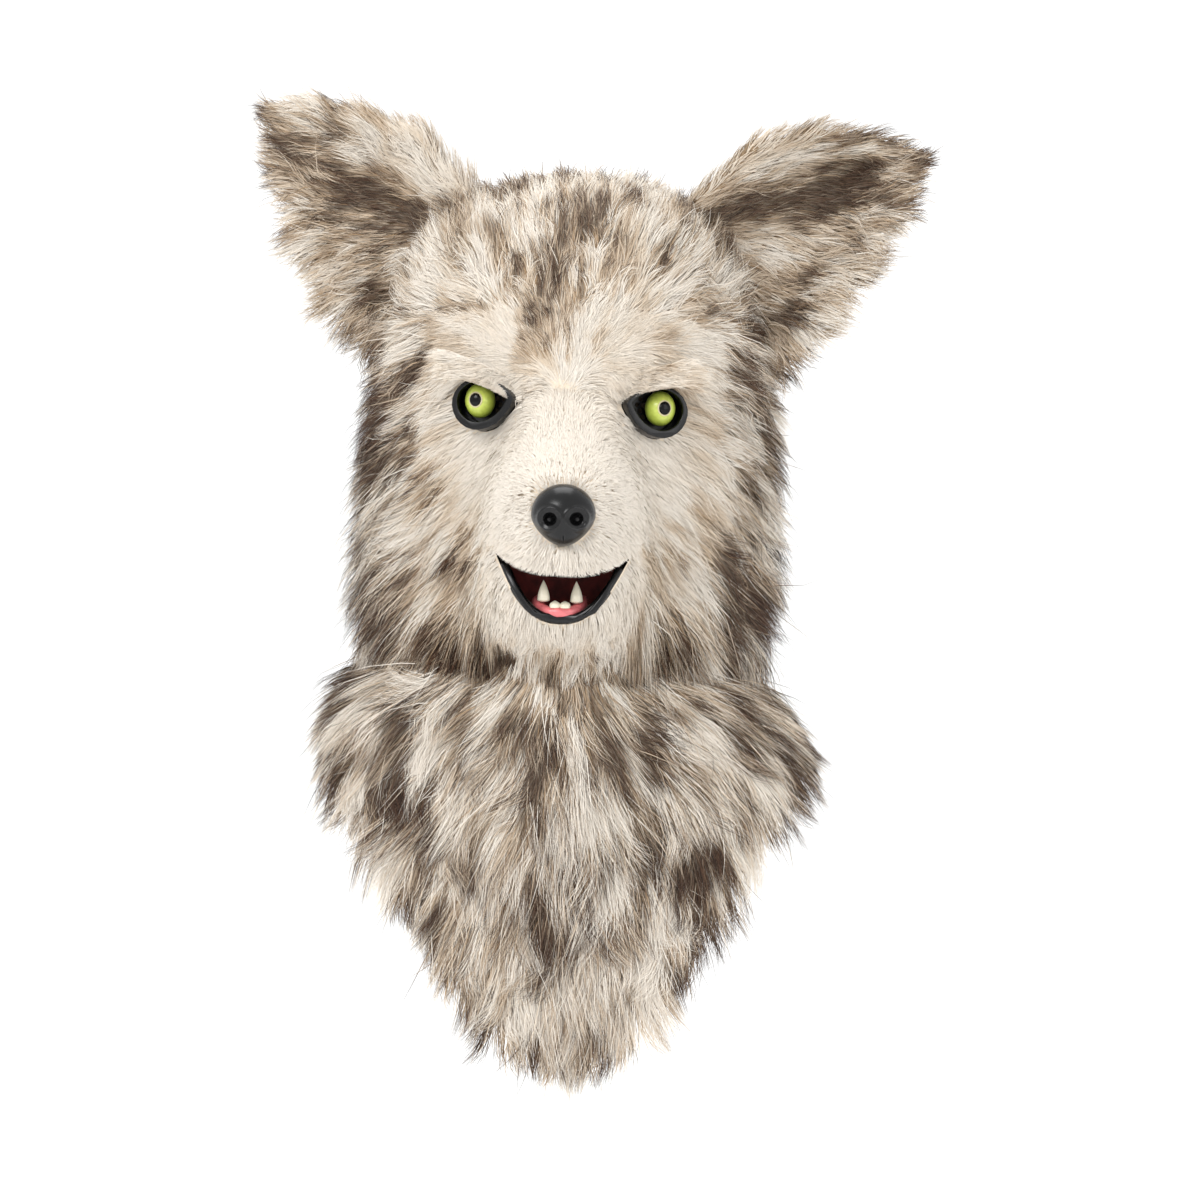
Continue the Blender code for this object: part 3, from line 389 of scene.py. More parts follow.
HEAD_COMBS = (
    # muzzle and nose
    Comb(0, -195, -182, 0.0, 0.8, 0.6, 18, 5, 0.02),
    Comb(0, -150, -165, 0.0, 0.7, 0.7, 20, 6, 0.02),
    Comb(20, -205, -200, 0.8, 0.6, 0.0, 20, 5, 0.02),
    Comb(24, -165, -185, 0.6, 0.7, 0.2, 20, 6, 0.02),
    Comb(8, -203, -226, 0.4, 0.2, -0.9, 18, 6, 0.02),
    Comb(28, -185, -218, 0.7, 0.6, -0.4, 20, 6, 0.03),
    Comb(42, -140, -205, 0.6, 0.7, -0.3, 24, 9, 0.04),
    Comb(0, -165, -272, 0.0, 0.3, -1.0, 28, 9, 0.05),
    Comb(28, -145, -268, 0.5, 0.3, -0.9, 28, 11, 0.05),
    # round the eyes
    Comb(0, -130, -145, 0.0, 0.3, 1.0, 20, 7, 0.04),
    Comb(24, -118, -150, 0.3, 0.5, -0.5, 16, 6, 0.05),
    Comb(28, -118, -120, 0.6, 0.1, -0.6, 20, 11, 0.06),
    Comb(48, -112, -112, 0.7, 0.1, -0.6, 22, 14, 0.08),
    Comb(66, -100, -112, 0.9, 0.2, -0.45, 28, 19, 0.12),
    Comb(52, -108, -158, 0.8, 0.2, -0.5, 16, 8, 0.04),
    Comb(78, -88, -135, 0.9, 0.4, -0.3, 36, 22, 0.15),
    # forehead and crown
    Comb(0, -112, -100, 0.0, 0.1, 1.0, 26, 15, 0.10),
    Comb(30, -108, -92, 0.5, 0.2, 0.8, 26, 16, 0.07),
    Comb(60, -95, -85, 0.8, 0.3, 0.4, 34, 20, 0.12),
    Comb(0, -105, -60, 0.0, 0.1, 1.0, 30, 20, 0.22),
    Comb(30, -100, -55, 0.2, 0.2, 1.0, 30, 21, 0.16),
    Comb(0, -80, -15, 0.0, 0.4, 0.9, 48, 30, 0.38),
    Comb(35, -70, -15, 0.2, 0.3, 0.9, 52, 34, 0.22),
    Comb(62, -60, -35, 0.3, 0.3, 0.9, 58, 40, 0.18),
    Comb(75, -30, -45, 0.4, 0.2, 0.9, 60, 42, 0.22),
    Comb(0, 0, 2, 0.0, 1.0, 0.2, 64, 32, 0.38),
    Comb(50, 0, -10, 0.4, 0.5, 0.6, 66, 40, 0.30),
    Comb(80, 0, -50, 0.4, 0.3, 0.7, 60, 40, 0.35),
    # sides and back of the head
    Comb(92, -50, -110, 0.8, 0.5, -0.4, 56, 40, 0.42),
    Comb(104, -30, -170, 0.9, 0.0, -0.6, 62, 54, 0.44),
    Comb(106, 0, -120, 0.6, 0.2, -0.9, 60, 48, 0.44),
    Comb(105, 10, -220, 0.9, 0.0, -0.6, 62, 60, 0.42),
    Comb(104, 0, -265, 0.7, 0.0, -0.9, 46, 70, 0.50),
    Comb(0, 90, -60, 0.0, 0.4, -1.0, 40, 40, 0.42),
    Comb(70, 75, -100, 0.3, 0.3, -1.0, 44, 42, 0.42),
    Comb(0, 102, -180, 0.0, 0.0, -1.0, 40, 46, 0.42),
    Comb(70, 75, -200, 0.3, 0.1, -1.0, 46, 48, 0.42),
    Comb(0, 100, -265, 0.0, 0.0, -1.0, 36, 52, 0.38),
    # cheeks
    Comb(58, -98, -185, 0.8, 0.3, -0.5, 22, 13, 0.06),
    Comb(80, -78, -185, 0.9, 0.3, -0.6, 38, 30, 0.16),
    Comb(62, -90, -225, 0.8, 0.3, -0.6, 32, 25, 0.10),
    Comb(88, -60, -235, 0.8, 0.1, -0.7, 50, 62, 0.40),
    Comb(58, -90, -262, 0.6, 0.1, -0.8, 42, 50, 0.30),
    # neck, bib and shoulders
    Comb(0, -128, -290, 0.0, 0.0, -1.0, 36, 34, 0.40),
    Comb(40, -115, -295, 0.7, 0.0, -0.7, 38, 42, 0.34),
    Comb(90, -70, -295, 0.8, 0.0, -0.6, 28, 46, 0.34),
    Comb(0, -142, -340, 0.0, 0.0, -1.0, 34, 48, 0.36),
    Comb(50, -130, -345, 0.5, 0.0, -0.85, 28, 46, 0.34),
    Comb(95, -100, -340, 0.4, 0.0, -0.9, 14, 36, 0.34),
    Comb(0, -146, -400, 0.0, 0.0, -1.0, 30, 50, 0.32),
    Comb(60, -138, -410, 0.2, 0.0, -0.95, 16, 32, 0.32),
    Comb(0, -146, -460, 0.0, 0.0, -1.0, 28, 46, 0.28),
    Comb(30, -144, -485, 0.1, 0.0, -1.0, 24, 32, 0.26),
    Comb(0, -146, -505, 0.0, 0.0, -1.0, 26, 28, 0.24),
    Comb(0, -148, -527, 0.0, 0.0, -1.0, 24, 14, 0.24),
    Comb(126, -20, -297, 0.8, 0.0, -0.7, 14, 34, 0.50),
    Comb(138, -10, -330, 0.1, 0.0, -1.0, 8, 30, 0.36),
    Comb(130, 40, -325, 0.4, 0.3, -1.0, 16, 36, 0.38),
    Comb(0, 118, -300, 0.0, 0.3, -1.0, 34, 46, 0.40),
    Comb(0, 135, -370, 0.0, 0.3, -1.0, 26, 42, 0.36),
    Comb(80, 105, -350, 0.4, 0.3, -1.0, 30, 44, 0.38),
)

EAR_COMBS = (
    Comb(58, 0, 0, 0.2, 0.0, 1.0, 34, 30, 0.12),
    Comb(75, 5, 18, 0.2, 0.0, 1.0, 30, 26, 0.15),
    Comb(80, -10, -5, 0.8, -0.1, 0.5, 26, 16, 0.10),
    Comb(95, -5, -35, 0.7, -0.1, -0.3, 28, 18, 0.16),
    Comb(120, -8, -5, 1.0, -0.1, 0.3, 26, 14, 0.18),
    Comb(110, -10, 30, 0.6, -0.1, 0.9, 28, 18, 0.10),
    Comb(135, -5, -30, 0.8, -0.1, -0.5, 30, 20, 0.14),
    Comb(150, -5, 15, 1.0, -0.1, 0.3, 26, 16, 0.20),
    Comb(150, -5, 45, 0.6, 0.0, 0.9, 32, 20, 0.24),
    Comb(165, 0, -15, 0.9, 0.0, -0.6, 34, 28, 0.34),
    Comb(190, 10, 30, 1.0, 0.0, 0.2, 36, 20, 0.36),
    Comb(215, 15, 35, 1.0, 0.0, 0.3, 34, 15, 0.60),
    Comb(110, 30, 0, 0.9, 0.3, 0.2, 32, 26, 0.45),
    Comb(160, 30, 20, 1.0, 0.2, 0.2, 34, 30, 0.50),
    Comb(120, -5, -75, 0.8, 0.0, -0.8, 34, 32, 0.30),
    Comb(95, -5, -85, 0.7, 0.0, -0.9, 36, 36, 0.30),
)


@dataclass(frozen=True)
class Mark:
    """A darker streak of the fur as seen from the front, in millimetres; a few marks are painted shade
    instead, in the ears' folds, in the face's hollows and under the chin.

    Turn is its long axis from upright, in degrees, leaning to +X.
    """

    x: float
    z: float
    long: float
    wide: float
    turn: float
    dark: float


MARKS = (
    # left ear
    # this mark and the next two: painted shade along the left ear's fold
    Mark(-116, 4, 32, 10, -53, 0.75),
    Mark(-88, -14, 12, 9, -60, 0.90),
    Mark(-67, -13, 9, 5, -60, 0.50),
    Mark(-111, -45, 20, 9, 8, 0.65),
    Mark(-91, -42, 12, 8, 0, 0.45),
    Mark(-137, 46, 9, 5, 20, 0.60),
    Mark(-116, -90, 18, 10, -70, 0.55),
    # right ear
    # this mark and the next: painted shade along the right ear's fold
    Mark(139, 3, 48, 9, 72, 0.90),
    Mark(74, -20, 22, 4, 80, 0.60),
    Mark(181, 46, 20, 5, 60, 0.40),
    Mark(143, -45, 10, 7, 40, 0.60),
    Mark(130, -66, 10, 6, 40, 0.50),
    Mark(54, -46, 12, 2.5, 0, 0.50),
    Mark(64, -52, 12, 2.5, -8, 0.50),
    Mark(84, -50, 14, 3, -8, 0.45),
    Mark(101, -79, 10, 7, 10, 0.45),
    Mark(114, -94, 14, 6, 60, 0.45),
    # crown and forehead
    Mark(8, 12, 16, 9, 30, 0.60),
    Mark(-28, -9, 16, 7, 20, 0.35),
    Mark(25, -6, 16, 7, -20, 0.30),
    Mark(-25, -48, 26, 2.5, 4, 0.50),
    Mark(-14, -60, 30, 2.5, 3, 0.50),
    Mark(-3, -52, 30, 2.0, 0, 0.45),
    Mark(11, -60, 28, 2.5, -3, 0.50),
    Mark(22, -46, 22, 2.5, -6, 0.45),
    # sides of the head
    Mark(-120, -127, 34, 9, 0, 0.45),
    Mark(-117, -172, 16, 9, 10, 0.40),
    Mark(-122, -226, 18, 9, 30, 0.40),
    Mark(-85, -243, 40, 8, -60, 0.60),
    Mark(90, -235, 34, 8, 55, 0.60),
    Mark(115, -153, 16, 7, -10, 0.30),
    Mark(94, -90, 14, 6, 60, 0.30),
    # face
    # painted shade between the brows
    Mark(-2, -103, 14, 16, 0, 0.08),
    Mark(-68, -77, 26, 3, 86, 0.40),
    # this mark and the next two: painted shade under the left eye and in the hollows at the muzzle's sides
    Mark(-80, -158, 22, 10, -30, 0.16),
    Mark(-58, -208, 26, 12, -20, 0.14),
    Mark(60, -205, 22, 10, 20, 0.08),
    Mark(-56, -221, 20, 3, 82, 0.30),
    Mark(58, -216, 16, 3, 80, 0.25),
    # neck and bib
    Mark(-123, -282, 16, 7, 50, 0.35),
    Mark(-43, -270, 16, 6, -60, 0.40),
    # this mark and the next two: painted shadow under the chin
    Mark(-16, -296, 16, 11, 0, 0.40),
    Mark(25, -286, 12, 11, 0, 0.40),
    Mark(23, -323, 16, 9, 30, 0.45),
    Mark(-80, -360, 60, 8, -29, 0.55),
    Mark(-16, -360, 16, 5, 0, 0.35),
    Mark(80, -364, 14, 8, 30, 0.45),
    Mark(60, -384, 18, 7, 70, 0.45),
    Mark(88, -329, 18, 8, 20, 0.35),
    Mark(119, -282, 16, 8, 30, 0.35),
    Mark(-16, -405, 28, 5, 0, 0.35),
    Mark(-35, -446, 24, 6, 5, 0.30),
    Mark(6, -456, 22, 5, 0, 0.28),
    Mark(-69, -429, 16, 6, 10, 0.30),
)


@dataclass(frozen=True)
class MouthShape:
    """The mouth's outline as seen from the front, in millimetres, tilted with the head."""

    half_width: float = 42.0
    corner: float = -222.0
    drop: float = 42.0
    sag: float = 14.0
    roundness: float = 2.5
    slope: float = 1.2
    tilt: float = math.radians(2.6)
    tilt_centre: float = -200.0

    def tilted(self, x: float, z: float) -> tuple[float, float]:
        """Tilt a point with the head."""
        rise = z - self.tilt_centre
        return (x * math.cos(self.tilt) + rise * math.sin(self.tilt),
                self.tilt_centre + rise * math.cos(self.tilt) - x * math.sin(self.tilt))

    def lower(self, side: float, inset: float) -> tuple[float, float]:
        """Give a point of the lower lip's line.

        Args:
            side: -1 at the left corner, 1 at the right one.
            inset: How far inside the outline.

        Returns:
            Its x and z.
        """
        fall = (1.0 - abs(side) ** self.roundness) ** self.slope
        return self.tilted(side * (self.half_width - inset), self.corner - fall * (self.drop - inset))

    def upper(self, side: float, inset: float) -> tuple[float, float]:
        """Give a point of the upper lip's line, as lower does."""
        return self.tilted(side * (self.half_width - inset),
                           self.corner - self.sag * (1.0 - abs(side) ** 3) - inset)

    def outline(self, steps: int, inset: float) -> tuple[tuple[float, float], ...]:
        """Give the outline, with its upper line set down by the inset."""
        sides = [-math.cos(math.pi * step / steps) for step in range(steps + 1)]
        return tuple([self.lower(side, 0.0) for side in sides]
                     + [self.upper(side, inset) for side in reversed(sides[1:-1])])


MOUTH = MouthShape()


@dataclass(frozen=True)
class Clearing:
    """A part of the front view, in millimetres, that no hair crosses."""

    outline: tuple[tuple[float, float], ...]

    def holds(self, points: Array) -> Array:
        """Tell which strands cross the part in front of the face.

        Args:
            points: Strands' points, one row of points a strand.

        Returns:
            True for each strand that crosses it.
        """
        fine = np.concatenate((points, (points[:, 1:] + points[:, :-1]) / 2.0), axis=1)
        x, z = fine[..., 0] / MM, fine[..., 2] / MM
        odd = np.zeros(x.shape, bool)
        for (ax, az), (bx, bz) in zip(self.outline, self.outline[1:] + self.outline[:1]):
            odd ^= ((az > z) != (bz > z)) & (x < ax + (z - az) / (bz - az + 1e-9) * (bx - ax))
        return (odd & (fine[..., 1] < -80.0 * MM)).any(axis=1)


def ring_line(x: float, z: float, wide: float, high: float) -> tuple[tuple[float, float], ...]:
    """Give the points of an oval, in millimetres."""
    turns = [math.pi * step / 10.0 for step in range(20)]
    return tuple((x + wide * math.cos(turn), z + high * math.sin(turn)) for turn in turns)


CLEARINGS = (
    Clearing(((-62.8, -118.0), (-45.6, -124.5), (-29.4, -132.7), (-29.4, -135.5), (-40.2, -145.4),
              (-53.1, -148.5), (-63.8, -143.5), (-68.5, -129.4), (-66.4, -120.8))),
    Clearing(((33.0, -133.8), (48.0, -126.2), (67.4, -123.1), (73.5, -129.5), (70.0, -143.5),
              (56.7, -151.5), (45.9, -147.2), (33.0, -136.6))),
    Clearing(ring_line(0.0, -201.0, 18.0, 17.0)),
    Clearing(MOUTH.outline(20, 1.5)),
)


class Grooming:
    """The lay, length and darkness of the fur between the combs' places."""

    reach: float = 12.0 * MM
    streaks: float = 230.0
    streak_step: float = 3.2 * MM
    streak_share: float = 0.62

    def __init__(self, combs: Sequence[Comb], grain: tuple[float, float, float]) -> None:
        """Lay the combs out on both sides of the mask.

        Args:
            combs: The combs of the +X side and of the middle.
            grain: How many patches of darker fur a metre has along each axis.
        """
        self.grain = Vector(grain)
        sides = [(comb, side) for comb in combs for side in (1.0, -1.0) if comb.x or side > 0.0]
        self.places = np.array([(comb.x * side, comb.y, comb.z) for comb, side in sides]) * MM
        self.flows = unit(np.array([(comb.out * side, comb.back, comb.up) for comb, side in sides]))
        self.values = np.array([(math.radians(comb.lift), comb.length * MM, comb.dark) for comb, _ in sides])

    def read(self, points: Array) -> tuple[Array, Array, Array, Array]:
        """Work out the fur at some places.

        Args:
            points: The places, a row each.

        Returns:
            Flow, lift, length and darkness.
        """
        flows, values = [], []
        for part in np.array_split(points, max(1, len(points) // 8000)):
            gaps = ((part[:, None, :] - self.places[None]) ** 2).sum(2) + self.reach ** 2
            weights = gaps ** -2.0
            weights /= weights.sum(1, keepdims=True)
            flows.append(weights @ self.flows)
            values.append(weights @ self.values)
        flow, value = np.concatenate(flows), np.concatenate(values)
        return flow, value[:, 0], value[:, 1], value[:, 2]

    def patches(self, points: Array, flow: Array) -> Array:
        """Work out the uneven darkness of the fur: soft patches and narrow streaks along its flow.

        Args:
            points: The places, a row each.
            flow: The way that the fur lies there.

        Returns:
            The added darkness, about -1 to 1.
        """
        total = np.array([noise.noise(Vector(point) * self.grain) for point in points])
        for step in range(-4, 5):
            places = (points + flow * step * self.streak_step) * self.streaks
            total += self.streak_share * np.array([noise.noise(place) for place in places.tolist()])
        return total


BROW_STAND = 1.5 * MM
BROW_LEAN = 13.0 * MM
BROW_HEIGHT = 15.0 * MM
BROWS = (
    ("left", ((-66.0, -117.5), (-62.8, -118.0), (-45.6, -124.5), (-29.4, -132.7), (-25.5, -135.6))),
    ("right", ((31.0, -135.0), (33.0, -133.8), (48.0, -126.2), (67.4, -123.1), (71.0, -124.0))),
)


def mark_strength(points: Array) -> Array:
    """Add up how dark the marks make some places, seen from the front.

    Args:
        points: The places, a row each.

    Returns:
        The added darkness of each.
    """
    total = np.zeros(len(points))
    for mark in MARKS:
        angle = math.radians(mark.turn)
        across = points[:, 0] / MM - mark.x
        above = points[:, 2] / MM - mark.z
        along = across * math.sin(angle) + above * math.cos(angle)
        beside = across * math.cos(angle) - above * math.sin(angle)
        total += mark.dark * np.exp(-(along / mark.long) ** 2 - (beside / mark.wide) ** 2)
    return total


class Pelt:
    """A skin that hair grows on: triangles with a smooth normal at each corner."""

    def __init__(self, node: bpy.types.Object, keep: Callable[[Vector, Vector], bool]) -> None:
        """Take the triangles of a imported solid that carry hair.

        Args:
            node: The solid's object.
            keep: Tells from a face's middle and normal whether hair grows on it.
        """
        bm = merged(node)
        bmesh.ops.triangulate(bm, faces=bm.faces)
        bm.normal_update()
        bm.verts.index_update()
        faces = [face for face in bm.faces if keep(face.calc_center_median(), face.normal)]
        places = np.array([vert.co for vert in bm.verts])
        self.index = np.array([[vert.index for vert in face.verts] for face in faces])
        bm.free()
        self.corners = places[self.index]
        first = self.corners[:, 0]
        self.cross = np.cross(self.corners[:, 1] - first, self.corners[:, 2] - first)
        sums = np.zeros_like(places)
        for corner in range(3):
            np.add.at(sums, self.index[:, corner], self.cross)
        self.normals = unit(sums)[self.index]

    @classmethod
    def brow(cls, rim: bpy.types.Object, line: Sequence[tuple[float, float]]) -> "Pelt":
        """Lay a strip of skin over the top of an eye's rim.

        Args:
            rim: The rim's solid.
            line: The x and z of the strip's lower edge, in millimetres.

        Returns:
            The strip.
        """
        bm = merged(rim)
        tree = BVHTree.FromBMesh(bm)
        bm.free()
        lower, upper = [], []
        for x, z in line:
            front = tree.find_nearest(Vector((x * MM, -200.0 * MM, z * MM)))[0].y
            hit = tree.ray_cast(Vector((x * MM, -200.0 * MM, (z + 2.0) * MM)), Vector((0.0, 1.0, 0.0)))[0]
            front = hit.y if hit else front
            lower.append((x * MM, front - BROW_STAND, z * MM))
            upper.append((x * MM, front + BROW_LEAN, z * MM + BROW_HEIGHT))
        corners = []
        for at in range(len(line) - 1):
            corners.append((lower[at], lower[at + 1], upper[at + 1]))
            corners.append((lower[at], upper[at + 1], upper[at]))
        strip = object.__new__(cls)
        strip.corners = np.array(corners)
        strip.index = np.arange(len(corners) * 3).reshape(-1, 3)
        strip.cross = np.cross(strip.corners[:, 1] - strip.corners[:, 0],
                               strip.corners[:, 2] - strip.corners[:, 0])
        strip.normals = np.repeat(unit(strip.cross)[:, None], 3, axis=1)
        return strip

    def part(self, chosen: Array) -> "Pelt":
        """Take some of the triangles as a pelt of their own.

        Args:
            chosen: True for each triangle to take.

        Returns:
            The smaller pelt.
        """
        smaller = object.__new__(Pelt)
        smaller.index = self.index[chosen]
        smaller.corners = self.corners[chosen]
        smaller.cross = self.cross[chosen]
        smaller.normals = self.normals[chosen]
        return smaller

    def middles(self) -> Array:
        """Give the triangles' middles."""
        return self.corners.mean(1)

    def scatter(self, count: int, rng: np.random.Generator, front: float = 1.0) -> tuple[Array, Array]:
        """Choose places on the skin, rounded between the corners' normals.

        Args:
            count: How many places.
            rng: The source of chance.
            front: How much denser the places are where the skin faces -Y.

        Returns:
            The places and their normals.
        """
        facing = ease(-unit(self.cross)[:, 1], -0.3, 0.3)
        share = np.linalg.norm(self.cross, axis=1) * (1.0 + (front - 1.0) * facing)
        pick = rng.choice(len(share), count, p=share / share.sum())
        split = rng.random((count, 2))
        over = split.sum(1) > 1.0
        split[over] = 1.0 - split[over]
        part = np.column_stack((1.0 - split.sum(1), split))[:, :, None]
        corners, normals = self.corners[pick], self.normals[pick]
        places = (part * corners).sum(1)
        lean = ((places[:, None, :] - corners) * normals).sum(2, keepdims=True)
        swell = (part * (places[:, None, :] - lean * normals)).sum(1) - places
        facing = unit((part * normals).sum(1))
        rise = np.maximum(0.0, (swell * facing).sum(1, keepdims=True))
        return places + 0.7 * rise * facing, facing


@dataclass(frozen=True)
class Coat:
    """One piece of fur: how many strands, how they gather and how fine they are."""

    name: str
    strands: int
    shape: Shape
    width: float
    lock_gap: float
    tuft_gap: float
    cling: float
    stray: float
    seed: int
    finish: str = "grizzled_fur"
    slot: str = "long_fur"
    front: float = 1.0
    patchy: float = 1.0
    tousle: float = 22.0
    strand_turn: float = 7.0
    stray_turn: float = 16.0
    stray_reach: float = 1.12
    trims: tuple[float, ...] = (0.72, 0.72, 0.72, 1.0)
    lift_scatter: float = 0.55
    length_low: float = 0.80
    length_loss: float = 0.012
    length_sum: float = 2.08
    arch: float = 0.40
    sway: float = 0.14
    droop: float = 0.08
    warm_mean: float = 0.50
    warm_spread: float = 0.22
    chance_share: float = 0.55
    stain_start: float = 0.70
    stain_climb: float = 0.55

    def grow(self, pelt: Pelt, grooming: Grooming, material: bpy.types.Material) -> bpy.types.Object:
        """Grow the coat's strands on its pelt and join them in one mesh.

        Args:
            pelt: The skin.
            grooming: The lay of the fur.
            material: The fur's material.

        Returns:
            The piece.
        """
        rng = np.random.default_rng(self.seed)
        area = np.linalg.norm(pelt.cross, axis=1).sum() / 2.0
        roots, normals = pelt.scatter(self.strands, rng, self.front)
        locks = self.bunch(pelt, grooming, rng, int(area / (self.lock_gap * MM) ** 2), None)
        tufts = self.bunch(pelt, grooming, rng, int(area / (self.tuft_gap * MM) ** 2), locks)
        curves, dark = self.comb_out(roots, normals, grooming, rng, self.strand_turn, tufts,
                                     self.cling)
        loose = rng.random(self.strands) < self.stray
        free, _ = self.comb_out(roots, normals, grooming, rng, self.stray_turn, None, 0.0)
        curves[loose] = roots[loose, None] + (free[loose] - roots[loose, None]) * self.stray_reach
        for share in self.trims:
            crossing = np.any([clearing.holds(curves) for clearing in CLEARINGS], axis=0)
            crossing |= ((curves[..., 0] < SIDE_LIMITS[0]) | (curves[..., 0] > SIDE_LIMITS[1])).any(axis=1)
            curves[crossing] = roots[crossing, None] + (curves[crossing] - roots[crossing, None]) * share
        keep = ~crossing
        return self.join(curves[keep], normals[keep], dark[keep], rng, material)

    def bunch(self, pelt: Pelt, grooming: Grooming, rng: np.random.Generator, count: int,
              parents: tuple[Array, Array, Array] | None) -> tuple[Array, Array, Array]:
        """Set out the middles of locks or tufts.

        Args:
            pelt: The skin.
            grooming: The lay of the fur.
            rng: The source of chance.
            count: How many.
            parents: The locks that tufts gather to, or None.

        Returns:
            Their roots, curves and darkness.
        """
        roots, normals = pelt.scatter(max(count, 8), rng)
        curves, dark = self.comb_out(roots, normals, grooming, rng, self.tousle, parents, self.cling * 0.8)
        return roots, curves, dark

    def comb_out(self, roots: Array, normals: Array, grooming: Grooming, rng: np.random.Generator,
                 scatter: float, parents: tuple[Array, Array, Array] | None,
                 cling: float) -> tuple[Array, Array]:
        """Lay strands over the skin and draw them to the middles that they gather to.

        Args:
            roots: The strands' roots.
            normals: The skin's normals there.
            grooming: The lay of the fur.
            rng: The source of chance.
            scatter: How far the strands turn by chance, in degrees.
            parents: Roots, curves and darkness of what they gather to, or None.
            cling: How closely their tips gather.

        Returns:
            The strands' points and their darkness.
        """
        count = len(roots)
        along = np.array(self.shape.value)[None, :, None]
        flow, lift, length, dark = grooming.read(roots)
        flow = unit(flow - (flow * normals).sum(1, keepdims=True) * normals)
        turn = np.radians(rng.normal(0.0, scatter, count))[:, None]
        flow = flow * np.cos(turn) + np.cross(normals, flow) * np.sin(turn)
        tilt = np.radians(rng.normal(0.0, scatter * self.lift_scatter, count))
        lift = np.clip(lift + tilt, 0.06, 1.4)[:, None]
        shortest = self.length_low - scatter * self.length_loss
        length = (length * rng.uniform(shortest, self.length_sum - shortest, count))[:, None, None]
        rise = along - self.arch * along ** 2
        beside = np.cross(normals, flow)[:, None]
        sway = rng.normal(0.0, self.sway, count)[:, None, None] * beside * along ** 2
        curves = (roots[:, None] + length * (flow * np.cos(lift))[:, None] * along
                  + length * (normals * np.sin(lift))[:, None] * rise + length * sway)
        curves[..., 2] -= (self.droop * length * along ** 2)[..., 0]
        # the marks darken front-facing roots: mostly the fur's own streaks, and in a few places painted
        # shade
        dark = dark + mark_strength(roots) * ease(-normals[:, 1], -0.2, 0.3)
        dark = dark + self.patchy * grooming.patches(roots, flow) * ease(dark, 0.03, 0.30)
        if parents is None:
            return curves, dark
        middles, paths, shades = parents
        tree = KDTree(len(middles))
        for at, middle in enumerate(middles):
            tree.insert(middle, at)
        tree.balance()
        near = np.array([tree.find(root)[1] for root in roots])
        offset = (roots - middles[near])[:, None] * (1.0 - 0.7 * along)
        pull = cling * rng.uniform(0.6, 1.1, count)[:, None, None] * along ** 1.2
        curves += (paths[near] + offset - curves) * np.clip(pull, 0.0, 1.0)
        return curves, dark * 0.5 + shades[near] * 0.5

    def tones(self, dark: Array, rng: np.random.Generator) -> Array:
        """Colour each strand from its root to its tip.

        Args:
            dark: The strands' darkness.
            rng: The source of chance.

        Returns:
            A colour for each point of each strand.
        """
        count = len(dark)
        along = np.array(self.shape.value)[None, :]
        chance = rng.random(count)
        pale = (1.0 - ease(dark, 0.0, 0.25))[:, None]
        body = np.array(Hue.CREAM.value) * (1.0 - pale) + np.array(Hue.IVORY.value) * pale
        warmth = np.clip(rng.normal(self.warm_mean, self.warm_spread, count), 0.0, 0.95)
        warm = (warmth * ease(dark, 0.08, 0.40))[:, None]
        body = body * (1.0 - warm) + np.array(Hue.TAN.value)[None] * warm
        body = body * rng.uniform(0.93, 1.03, count)[:, None]
        deep = ease(dark - chance * self.chance_share, 0.0, 0.28)
        hue = rng.random(count)[:, None]
        tip = np.array(Hue.UMBER.value)[None] * (1.0 - hue) + np.array(Hue.DARK.value)[None] * hue
        start = self.stain_start - self.stain_climb * ease(dark, 0.1, 0.9)
        stain = deep[:, None] * np.clip((along - start[:, None]) / 0.3, 0.0, 1.0)
        stain = stain[..., None]
        # each strand darkens to 86% at its root and brightens towards its tip: painted shade deep in the
        # pile
        shade = (0.86 + 0.14 * np.sqrt(along))[..., None]
        return (body[:, None] * (1.0 - stain) + tip[:, None] * stain) * shade

    def join(self, curves: Array, normals: Array, dark: Array, rng: np.random.Generator,
             material: bpy.types.Material) -> bpy.types.Object:
        """Make the strands narrow ribbons that taper to their tips, in one mesh.

        Args:
            curves: The strands' points.
            normals: The skin's normals at their roots.
            dark: Their darkness.
            rng: The source of chance.
            material: The fur's material.

        Returns:
            The piece.
        """
        count, levels = curves.shape[:2]
        steps = levels - 1
        along = np.array(self.shape.value)
        ahead = unit(np.gradient(curves, axis=1))
        side = unit(np.cross(ahead, normals[:, None]))
        roll = np.radians(rng.normal(0.0, 32.0, count))[:, None, None]
        side = side * np.cos(roll) + np.cross(ahead, side) * np.sin(roll)
        width = self.width * MM * rng.uniform(0.75, 1.2, count)[:, None] * (1.0 - along ** 1.5)[None]
        half = side * width[..., None] * 0.5
        facing = unit(0.7 * normals[:, None] + 0.3 * np.cross(side, ahead))
        tones = self.tones(dark, rng)
        pairs = np.stack((curves[:, :steps] - half[:, :steps], curves[:, :steps] + half[:, :steps]), axis=2)
        verts = np.concatenate((pairs.reshape(count, steps * 2, 3), curves[:, steps:]), axis=1)
        shades = np.concatenate((np.repeat(tones[:, :steps], 2, axis=1), tones[:, steps:]), axis=1)
        block = steps * 2 + 1
        quads = [(at * 2, at * 2 + 1, at * 2 + 3, at * 2 + 2) for at in range(steps - 1)]
        loops = np.array([corner for quad in quads for corner in quad] + [block - 3, block - 2, block - 1])
        sizes = np.array([4] * (steps - 1) + [3])
        corners = (np.arange(count)[:, None] * block + loops[None]).ravel()
        starts = np.arange(count)[:, None] * len(loops) + np.concatenate(([0], np.cumsum(sizes)[:-1]))[None]
        mesh = bpy.data.meshes.new(self.name)
        mesh.vertices.add(count * block)
        mesh.vertices.foreach_set("co", verts.astype(np.float32).ravel())
        mesh.loops.add(len(corners))
